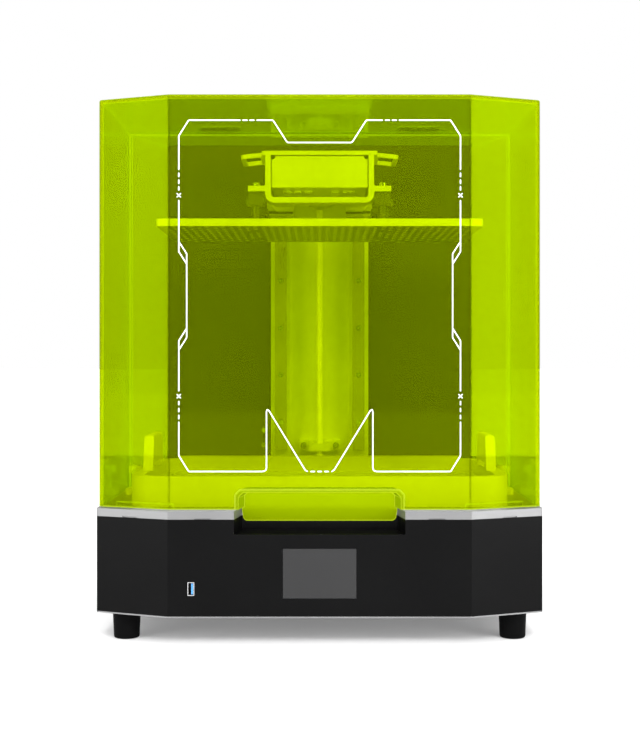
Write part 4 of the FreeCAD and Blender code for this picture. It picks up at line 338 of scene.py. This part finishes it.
slot_materials = {
    "base_paint": finish_material(
        "black_powder_coat",
        (0.0016, 0.0016, 0.0017),
        (0.0028, 0.0028, 0.0029),
        (0.3, 0.36),
        grain=2600.0,
        depth=0.00003,
        Specular_IOR_Level=0.07,
    ),
    "rear_paint": finish_material(
        "black_matt_coat",
        (0.016, 0.016, 0.016),
        (0.024, 0.024, 0.024),
        (0.5, 0.6),
        grain=2200.0,
        depth=0.00005,
    ),
    "plate_silver": finish_material(
        "silver_blasted",
        (0.2, 0.2, 0.202),
        (0.25, 0.25, 0.252),
        (0.3, 0.38),
        grain=3000.0,
        depth=0.00002,
        Metallic=0.6,
    ),
    "bright_aluminium": finish_material(
        "bright_aluminium", (0.67, 0.67, 0.67), (0.73, 0.73, 0.73), (0.38, 0.48), grain=2200.0, Metallic=0.6
    ),
    "tower_aluminium": finish_material(
        "satin_extrusion",
        (0.82, 0.82, 0.82),
        (0.9, 0.9, 0.9),
        (0.34, 0.44),
        grain=1500.0,
        stretch=BRUSH_Z,
        Metallic=0.7,
    ),
    "plain_aluminium": finish_material(
        "mill_aluminium",
        (0.6, 0.6, 0.61),
        (0.7, 0.7, 0.71),
        (0.36, 0.46),
        grain=1500.0,
        stretch=BRUSH_X,
        Metallic=0.8,
    ),
    "rail_steel": finish_material(
        "ground_steel",
        (0.5, 0.5, 0.51),
        (0.6, 0.6, 0.61),
        (0.24, 0.32),
        grain=2400.0,
        stretch=BRUSH_Z,
        Metallic=0.9,
    ),
    "block_steel": finish_material(
        "block_steel", (0.52, 0.52, 0.53), (0.6, 0.6, 0.61), (0.3, 0.4), grain=2000.0, Metallic=0.85
    ),
    "screw_steel": finish_material(
        "bright_steel", (0.74, 0.74, 0.75), (0.82, 0.82, 0.83), (0.16, 0.24), grain=2600.0, Metallic=1.0
    ),
    "black_steel": finish_material(
        "black_oxide", (0.12, 0.12, 0.122), (0.17, 0.17, 0.172), (0.3, 0.4), grain=2400.0, Metallic=0.7
    ),
    "zinc_steel": finish_material(
        "galvanised",
        (0.42, 0.43, 0.43),
        (0.58, 0.59, 0.59),
        (0.35, 0.5),
        grain=500.0,
        blotch=90.0,
        Metallic=0.9,
    ),
    "brass_nut": finish_material(
        "turned_brass", (0.62, 0.42, 0.14), (0.74, 0.54, 0.22), (0.22, 0.3), grain=2000.0, Metallic=1.0
    ),
    "vat_body": finish_material(
        "vat_satin", (0.46, 0.46, 0.455), (0.51, 0.51, 0.505), (0.3, 0.36), grain=2600.0, depth=0.00001
    ),
    "knob_metal": finish_material(
        "turned_aluminium", (0.76, 0.76, 0.77), (0.84, 0.84, 0.85), (0.22, 0.3), grain=2600.0, Metallic=0.9
    ),
    "foot_rubber": finish_material(
        "foot_rubber",
        (0.0015, 0.0015, 0.0016),
        (0.003, 0.003, 0.0031),
        (0.55, 0.7),
        grain=1400.0,
        depth=0.00006,
        Specular_IOR_Level=0.04,
    ),
    "screen_glass": finish_material(
        "screen_glass",
        (0.032, 0.032, 0.0325),
        (0.035, 0.035, 0.0355),
        (0.3, 0.34),
        grain=3000.0,
        depth=0.000002,
        Specular_IOR_Level=0.05,
    ),
    "lcd_glass": finish_material(
        "lcd_glass", (0.012, 0.013, 0.018), (0.018, 0.019, 0.026), (0.05, 0.1), grain=3000.0, depth=0.000002
    ),
    "black_plastic": finish_material(
        "black_plastic",
        (0.014, 0.014, 0.014),
        (0.022, 0.022, 0.022),
        (0.4, 0.5),
        grain=1800.0,
        depth=0.00004,
    ),
    "blue_plastic": finish_material(
        "blue_plastic", (0.06, 0.26, 0.6), (0.09, 0.34, 0.72), (0.25, 0.35), grain=1800.0
    ),
    "socket_steel": finish_material(
        "nickel_plate", (0.7, 0.7, 0.72), (0.82, 0.82, 0.84), (0.12, 0.2), grain=2600.0, Metallic=1.0
    ),
    "board_green": finish_material(
        "solder_mask_green", (0.01, 0.1, 0.04), (0.02, 0.17, 0.06), (0.25, 0.35), grain=1200.0, blotch=160.0
    ),
    "board_white": finish_material(
        "solder_mask_white", (0.78, 0.79, 0.79), (0.86, 0.87, 0.87), (0.3, 0.4), grain=1500.0
    ),
    "filter_carbon": finish_material(
        "carbon_felt", (0.008, 0.008, 0.008), (0.03, 0.03, 0.03), (0.8, 0.95), grain=700.0, depth=0.0003
    ),
    "clear_green": clear_material(
        "clear_green",
        (0.75, 0.858, 0.0),
        (0.78, 0.888, 0.0),
        (0.25, 0.34, 0.0),
        0.13,
        0.015,
        LID_SHINE,
        edges=CLEAR_EDGE_LIGHT_AND_SHADE,
    ),
    "film_clear": clear_material(
        "clear_film",
        (0.93, 0.94, 0.95),
        (0.96, 0.97, 0.98),
        (0.8, 0.82, 0.84),
        0.06,
        0.04,
        (0.8, 0.8, 0.8),
        ior=1.35,
    ),
    "lens_clear": clear_material(
        "clear_lens", (0.9, 0.92, 0.93), (0.94, 0.96, 0.97), (0.8, 0.82, 0.84), 0.08, 0.03, (0.9, 0.9, 0.9)
    ),
}

own_materials = {
    "lid_handle": clear_material(
        "clear_green_handle",
        (0.77, 0.875, 0.0),
        (0.8, 0.905, 0.0),
        (0.29, 0.41, 0.0),
        0.85,
        0.02,
        LID_SHINE,
        edges=HANDLE_EDGE_LIGHT_AND_SHADE,
    ),
    "lead_nut": slot_materials["block_steel"],
    # The build plate: its underside gets painted shade.
    "build_plate": underside_shaded_finish(
        "build_plate_face", (0.68, 0.68, 0.68), (0.74, 0.74, 0.74), (0.1, 0.1, 0.1), (0.16, 0.16, 0.16)
    ),
    "usb_shell": inside_shaded_finish("usb_shell_steel", (0.5, 0.5, 0.51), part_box("usb_shell")[0].y + RIM_DEPTH),
    "linear_rails": finish_material(
        "rail_bright",
        (0.4, 0.4, 0.41),
        (0.48, 0.48, 0.49),
        (0.26, 0.34),
        grain=2400.0,
        stretch=BRUSH_Z,
        Metallic=0.6,
    ),
}

node_slots = {part["node"]: part["material_slot"] for part in frame["record"]["subparts"]}
for name, thing in frame["nodes"].items():
    for holder in thing.material_slots:
        holder.material = own_materials.get(name, slot_materials[node_slots[name]])

rolled_steel = finish_material(
    "rolled_steel", (0.94, 0.94, 0.94), (0.98, 0.98, 0.98), (0.3, 0.4), grain=2600.0, edge=0.0, Metallic=0.25
)
white_print = finish_material(
    "white_print", (0.9, 0.9, 0.9), (0.94, 0.94, 0.94), (0.35, 0.45), grain=2000.0, depth=0.000004, edge=0.0
)


# ---- mesh helpers -------------------------------------------------------------------------------


def mesh_piece(name, bm, material, body):
    """Turns a bmesh into a piece that rides on a body."""
    mesh = bpy.data.meshes.new(name)
    bm.normal_update()
    bm.to_mesh(mesh)
    bm.free()
    piece = bpy.data.objects.new(name, mesh)
    bpy.context.scene.collection.objects.link(piece)
    mesh.materials.append(material)
    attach(piece, body)
    return piece


def block(bm, size, centre):
    """A rectangular block, by its size and centre."""
    made = bmesh.ops.create_cube(bm, size=1.0)
    bmesh.ops.scale(bm, verts=made["verts"], vec=size)
    bmesh.ops.translate(bm, verts=made["verts"], vec=centre)


# A sharp bend's mitre reaches no further than this share allows.
LEAST_MITRE = 0.4


def ribbon(bm, points, width, y, thick):
    """A flat raised line along points given as (x, z), mitred at its bends."""
    line = [Vector((x, z)) for x, z in points]
    sides = []
    for i, here in enumerate(line):
        before = (here - line[i - 1]).normalized() if i else None
        after = (line[i + 1] - here).normalized() if i + 1 < len(line) else None
        along = (before or after) + (after or before)
        along.normalize()
        across = Vector((-along.y, along.x))
        reference = after or before
        stretch = 1.0 / max(LEAST_MITRE, abs(along.dot(reference)))
        reach = across * (width / 2 * stretch)
        sides.append((here + reach, here - reach))
    rings = []
    for left, right in sides:
        corners = ((left, y), (right, y), (right, y - thick), (left, y - thick))
        rings.append([bm.verts.new((p.x, depth, p.y)) for p, depth in corners])
    for first, second in zip(rings, rings[1:]):
        for i in range(4):
            j = (i + 1) % 4
            bm.faces.new((first[i], first[j], second[j], second[i]))
    bm.faces.new(rings[0][::-1])
    bm.faces.new(rings[-1])


# ---- printed outline on the lid's front ---------------------------------------------------------

LINE_WIDTH = 1.25 * MM
CROSS_WIDTH = 0.95 * MM
LINE_THICK = 0.15 * MM
LINE_SINK = 0.02 * MM

# The outline's places, in millimetres: x from the lid's middle, z above its lower edge.
SIDE_X = -146.8
WAIST_X = -138.6
TOP_Z = 406.1
FOOT_Z = 39.9
PEAK_X = -55.4
PEAK_END = (-53.0, 103.6)
CROSS_REACH = 2.2

LEFT_LINES = [
    [(-82.7, TOP_Z), (-136.0, TOP_Z), (-136.9, 405.6), (-146.4, 390.4), (SIDE_X, 389.4), (SIDE_X, 354.4)],
    [(-65.7, TOP_Z), (-49.4, TOP_Z), (-48.3, 405.6), (-34.6, 384.2), (-33.0, 382.8), (0.0, 382.8)],
    [(SIDE_X, 322.7), (SIDE_X, 269.2), (WAIST_X, 256.2), (WAIST_X, 189.2), (SIDE_X, 176.2), (SIDE_X, 123.6)],
    [(SIDE_X, 279.6), (WAIST_X, 266.9), (WAIST_X, 256.2)],
    [(WAIST_X, 189.2), (WAIST_X, 179.4), (SIDE_X, 166.5)],
    [(SIDE_X, 91.7), (SIDE_X, 56.8), (-146.4, 55.8), (-137.0, 40.6), (-136.0, FOOT_Z), (-60.0, FOOT_Z)],
    [
        (-60.0, FOOT_Z),
        (-57.6, 40.3),
        (-56.0, 41.6),
        (PEAK_X, 43.8),
        (PEAK_X, 102.6),
        (-54.6, 104.3),
        PEAK_END,
    ],
    [PEAK_END, (-15.2, 41.6), (-12.6, FOOT_Z)],
]
SIDE_DASHES = (
    (351.3, 346.9),
    (344.1, 339.8),
    (337.1, 332.9),
    (113.4, 109.0),
    (106.1, 101.9),
    (98.9, 94.5),
)
TOP_DASHES = ((-80.4, -75.3), (-73.1, -68.1))
FOOT_DASH = (-9.5, -5.0)
MIDDLE_DASH = (-2.2, 2.2)
CROSS_HEIGHTS = (327.8, 118.4)


def level_dash(ends, z):
    """Short level line between two x places."""
    return [(ends[0], z), (ends[1], z)]


def cross_strokes(z):
    """The two strokes of a small cross on the outline's side."""
    left = SIDE_X - CROSS_REACH
    right = SIDE_X + CROSS_REACH
    low = z - CROSS_REACH
    high = z + CROSS_REACH
    return [[(left, low), (right, high)], [(left, high), (right, low)]]


def lid_outline():
    """White line art on the lid's front: drawn on the left half and mirrored to the right."""
    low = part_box("lid_shell")[0]
    face = low.y - LINE_SINK
    bm = bmesh.new()

    def draw(stroke, width, turns=(1, -1)):
        for turn in turns:
            points = [(turn * x * MM, low.z + z * MM) for x, z in stroke]
            ribbon(bm, points, width, face, LINE_THICK)

    for stroke in LEFT_LINES:
        draw(stroke, LINE_WIDTH)
    for top, bottom in SIDE_DASHES:
        draw([(SIDE_X, top), (SIDE_X, bottom)], LINE_WIDTH)
    for ends in TOP_DASHES:
        draw(level_dash(ends, TOP_Z), LINE_WIDTH)
    draw(level_dash(FOOT_DASH, FOOT_Z), LINE_WIDTH)
    draw(level_dash(MIDDLE_DASH, FOOT_Z), LINE_WIDTH, turns=(1,))
    for z in CROSS_HEIGHTS:
        for stroke in cross_strokes(z):
            draw(stroke, CROSS_WIDTH)
    mesh_piece("lid_outline", bm, white_print, "lid")


lid_outline()


# ---- lead screw thread --------------------------------------------------------------------------

THREAD_PITCH = 2.0 * MM
THREAD_DEPTH = 0.9 * MM
THREAD_STEPS = 20
THREAD_START = 0.1
# One turn of the thread: how far along the pitch, and what share of the full depth.
THREAD_PROFILE = ((0.0, 0.0), (0.22, 0.0), (0.4, 1.0), (0.62, 1.0), (0.8, 0.0))
CORE_CLEARANCE = 1.05
CORE_SIDES = 24


def lead_screw_thread():
    """The screw with its helical thread cut in it, within the CAD bar's diameter."""
    low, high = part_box("lead_screw")
    centre = (low + high) / 2
    radius = (high.x - low.x) / 2
    turns = int((high.z - low.z) / THREAD_PITCH) - 1
    core_radius = radius - THREAD_DEPTH * CORE_CLEARANCE
    bm = bmesh.new()
    columns = []
    for step in range(turns * THREAD_STEPS + 1):
        angle = 2 * math.pi * step / THREAD_STEPS
        z = low.z + THREAD_PITCH * (THREAD_START + step / THREAD_STEPS)
        ring = []
        for along, depth in THREAD_PROFILE:
            r = radius - THREAD_DEPTH * depth
            x = centre.x + r * math.cos(angle)
            y = centre.y + r * math.sin(angle)
            ring.append(bm.verts.new((x, y, z + along * THREAD_PITCH)))
        columns.append(ring)
    for i, (first, second) in enumerate(zip(columns, columns[1:])):
        for j in range(len(THREAD_PROFILE) - 1):
            bm.faces.new((first[j], second[j], second[j + 1], first[j + 1]))
        if i >= THREAD_STEPS:
            lower = columns[i - THREAD_STEPS]
            below = columns[i - THREAD_STEPS + 1]
            bm.faces.new((lower[-1], below[-1], second[0], first[0]))
    core = bmesh.ops.create_cone(
        bm,
        cap_ends=True,
        segments=CORE_SIDES,
        radius1=core_radius,
        radius2=core_radius,
        depth=high.z - low.z,
    )
    bmesh.ops.translate(bm, verts=core["verts"], vec=centre)
    piece = mesh_piece("threaded_lead_screw", bm, rolled_steel, "lead_screw")
    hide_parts("lead_screw")


lead_screw_thread()


# ---- screws under the arm -----------------------------------------------------------------------


# Each head's place across the arm and its width, in millimetres.
ARM_HEADS = ((-37, 11), (-25, 9), (-13, 11), (18, 9), (29, 6), (37, 10))
ARM_HEAD_DEPTH = 3.6 * MM
ARM_HEAD_SIDES = 6
ARM_HEAD_SETBACK = 22 * MM
ARM_UNDERSIDE = 36.2 * MM


def arm_screws():
    """Six-sided screw heads under the arm's block."""
    bracket_low, bracket_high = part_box("platform_bracket")
    y = bracket_low.y + ARM_HEAD_SETBACK
    z = bracket_high.z - ARM_UNDERSIDE - ARM_HEAD_DEPTH / 2
    bm = bmesh.new()
    for x, width in ARM_HEADS:
        radius = width / 2 * MM
        made = bmesh.ops.create_cone(
            bm, cap_ends=True, segments=ARM_HEAD_SIDES, radius1=radius, radius2=radius, depth=ARM_HEAD_DEPTH
        )
        bmesh.ops.translate(bm, verts=made["verts"], vec=(x * MM, y, z))
    mesh_piece("arm_screw_heads", bm, slot_materials["screw_steel"], "carriage")


arm_screws()


# ---- cloth behind the back panel's vents --------------------------------------------------------


CLOTH_THICK = 0.4 * MM
CLOTH_GAP = 0.1 * MM


def vent_cloth():
    """Fine black cloth behind the back panel's vents, in front of the filter and as large as it."""
    panel_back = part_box("back_panel")[1].y
    low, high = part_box("carbon_filter")
    centre = (low + high) / 2
    centre.y = panel_back + CLOTH_GAP + CLOTH_THICK / 2
    bm = bmesh.new()
    block(bm, (high.x - low.x, CLOTH_THICK, high.z - low.z), centre)
    slot_name = node_slots["back_panel"]
    mesh_piece("vent_cloth", bm, slot_materials[slot_name], "base")


vent_cloth()


# ---- USB contacts -------------------------------------------------------------------------------


CONTACT_COUNT = 4
CONTACT_SIZE = (0.15 * MM, 8 * MM, 1.1 * MM)
CONTACT_PROUD = 0.05 * MM
CONTACT_DEPTH = 5 * MM


def usb_contacts():
    """Gilded strips on the socket's tongue."""
    low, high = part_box("usb_tongue")
    bm = bmesh.new()
    for i in range(CONTACT_COUNT):
        z = low.z + (high.z - low.z) * (i + 0.5) / CONTACT_COUNT
        block(bm, CONTACT_SIZE, (low.x - CONTACT_PROUD, low.y + CONTACT_DEPTH, z))
    mesh_piece("usb_contacts", bm, slot_materials["brass_nut"], "base")


usb_contacts()


# ---- floor, light and camera --------------------------------------------------------------------

FLOOR_FRONT = -6.0
FLOOR_REACH = 30.0
FLOOR_DROP = 0.4 * MM
FLOOR_GLOW = 0.17

# The sky's strength for lighting, at the horizon and overhead.
SKY_LOW = 0.38
SKY_HIGH = 1.15
SUN_TILT = -12

LIGHT_AIM_Z = 0.28

CAMERA_PLACE = (0.0, -1.6, 0.301)
CAMERA_LENS = 66.26
CAMERA_SHIFT = (0.0005, -0.0126)


def floor():
    """Wide pale floor, lit a little from below."""
    bm = bmesh.new()
    corners = (
        (-FLOOR_REACH, FLOOR_FRONT),
        (FLOOR_REACH, FLOOR_FRONT),
        (FLOOR_REACH, FLOOR_REACH),
        (-FLOOR_REACH, FLOOR_REACH),
    )
    bm.faces.new([bm.verts.new((x, y, -FLOOR_DROP)) for x, y in corners])
    mesh = bpy.data.meshes.new("floor")
    bm.to_mesh(mesh)
    bm.free()
    plane = bpy.data.objects.new("floor", mesh)
    bpy.context.scene.collection.objects.link(plane)
    material, tree, output, place = new_tree("pale_floor")
    colour = ramp(tree, noise(tree, place, 2.0), (0.72, 0.72, 0.72), (0.74, 0.74, 0.74))
    shader = add(tree, "ShaderNodeBsdfDiffuse", Color=colour)
    glow = add(tree, "ShaderNodeEmission", Color=(1, 1, 1, 1), Strength=FLOOR_GLOW)
    lit = add(tree, "ShaderNodeAddShader")
    tree.links.new(shader.outputs[0], lit.inputs[0])
    tree.links.new(glow.outputs[0], lit.inputs[1])
    tree.links.new(lit.outputs[0], output.inputs["Surface"])
    mesh.materials.append(material)


def studio_world():
    """White backdrop for the eye; for lighting, brightest overhead and dimmer at the horizon."""
    world = bpy.data.worlds.new("studio")
    bpy.context.scene.world = world
    world.use_nodes = True
    tree = world.node_tree
    tree.nodes.clear()
    output = tree.nodes.new("ShaderNodeOutputWorld")
    direction = tree.nodes.new("ShaderNodeTexCoord").outputs["Generated"]
    axes = add(tree, "ShaderNodeSeparateXYZ", Vector=direction)
    strength = add(tree, "ShaderNodeMapRange", Value=axes.outputs["Z"], To_Min=SKY_LOW, To_Max=SKY_HIGH)
    lighting = add(tree, "ShaderNodeBackground", Color=(1, 1, 1, 1), Strength=strength.outputs["Result"])
    seen = add(tree, "ShaderNodeBackground", Color=(1, 1, 1, 1), Strength=1.0)
    path = tree.nodes.new("ShaderNodeLightPath")
    view = mix_shaders(tree, path.outputs["Is Camera Ray"], lighting.outputs[0], seen.outputs[0])
    tree.links.new(view, output.inputs["Surface"])


def softbox(name, place, size, power):
    """Rectangular area light at a place, turned to the middle of the object."""
    light = bpy.data.lights.new(name, "AREA")
    light.shape = "RECTANGLE"
    light.size, light.size_y = size
    light.energy = power
    thing = bpy.data.objects.new(name, light)
    bpy.context.scene.collection.objects.link(thing)
    thing.location = place
    aim = Vector((0, 0, LIGHT_AIM_Z)) - Vector(place)
    thing.rotation_euler = aim.to_track_quat("-Z", "Y").to_euler()


def sun(name, strength, spread_degrees):
    """Wide overhead light that falls evenly on the whole floor."""
    light = bpy.data.lights.new(name, "SUN")
    light.energy = strength
    light.angle = math.radians(spread_degrees)
    thing = bpy.data.objects.new(name, light)
    bpy.context.scene.collection.objects.link(thing)
    thing.rotation_euler = (math.radians(SUN_TILT), 0, 0)


def camera():
    """Level camera straight in front, at just over half the object's height."""
    lens = bpy.data.cameras.new("camera")
    lens.lens = CAMERA_LENS
    lens.sensor_width = 36.0
    lens.sensor_fit = "AUTO"
    lens.shift_x, lens.shift_y = CAMERA_SHIFT
    thing = bpy.data.objects.new("camera", lens)
    bpy.context.scene.collection.objects.link(thing)
    thing.location = CAMERA_PLACE
    thing.rotation_euler = (math.pi / 2, 0, 0)
    bpy.context.scene.camera = thing


floor()
studio_world()
sun("sky", 2.2, 70.0)
softbox("right_box", (1.9, -1.9, 0.7), (1.0, 1.4), 34.0)
softbox("left_box", (-1.9, -1.9, 0.7), (1.0, 1.4), 24.0)
softbox("front_box", (0.3, -2.2, 1.9), (1.8, 1.0), 60.0)
camera()
bpy.context.scene.view_settings.view_transform = "Standard"
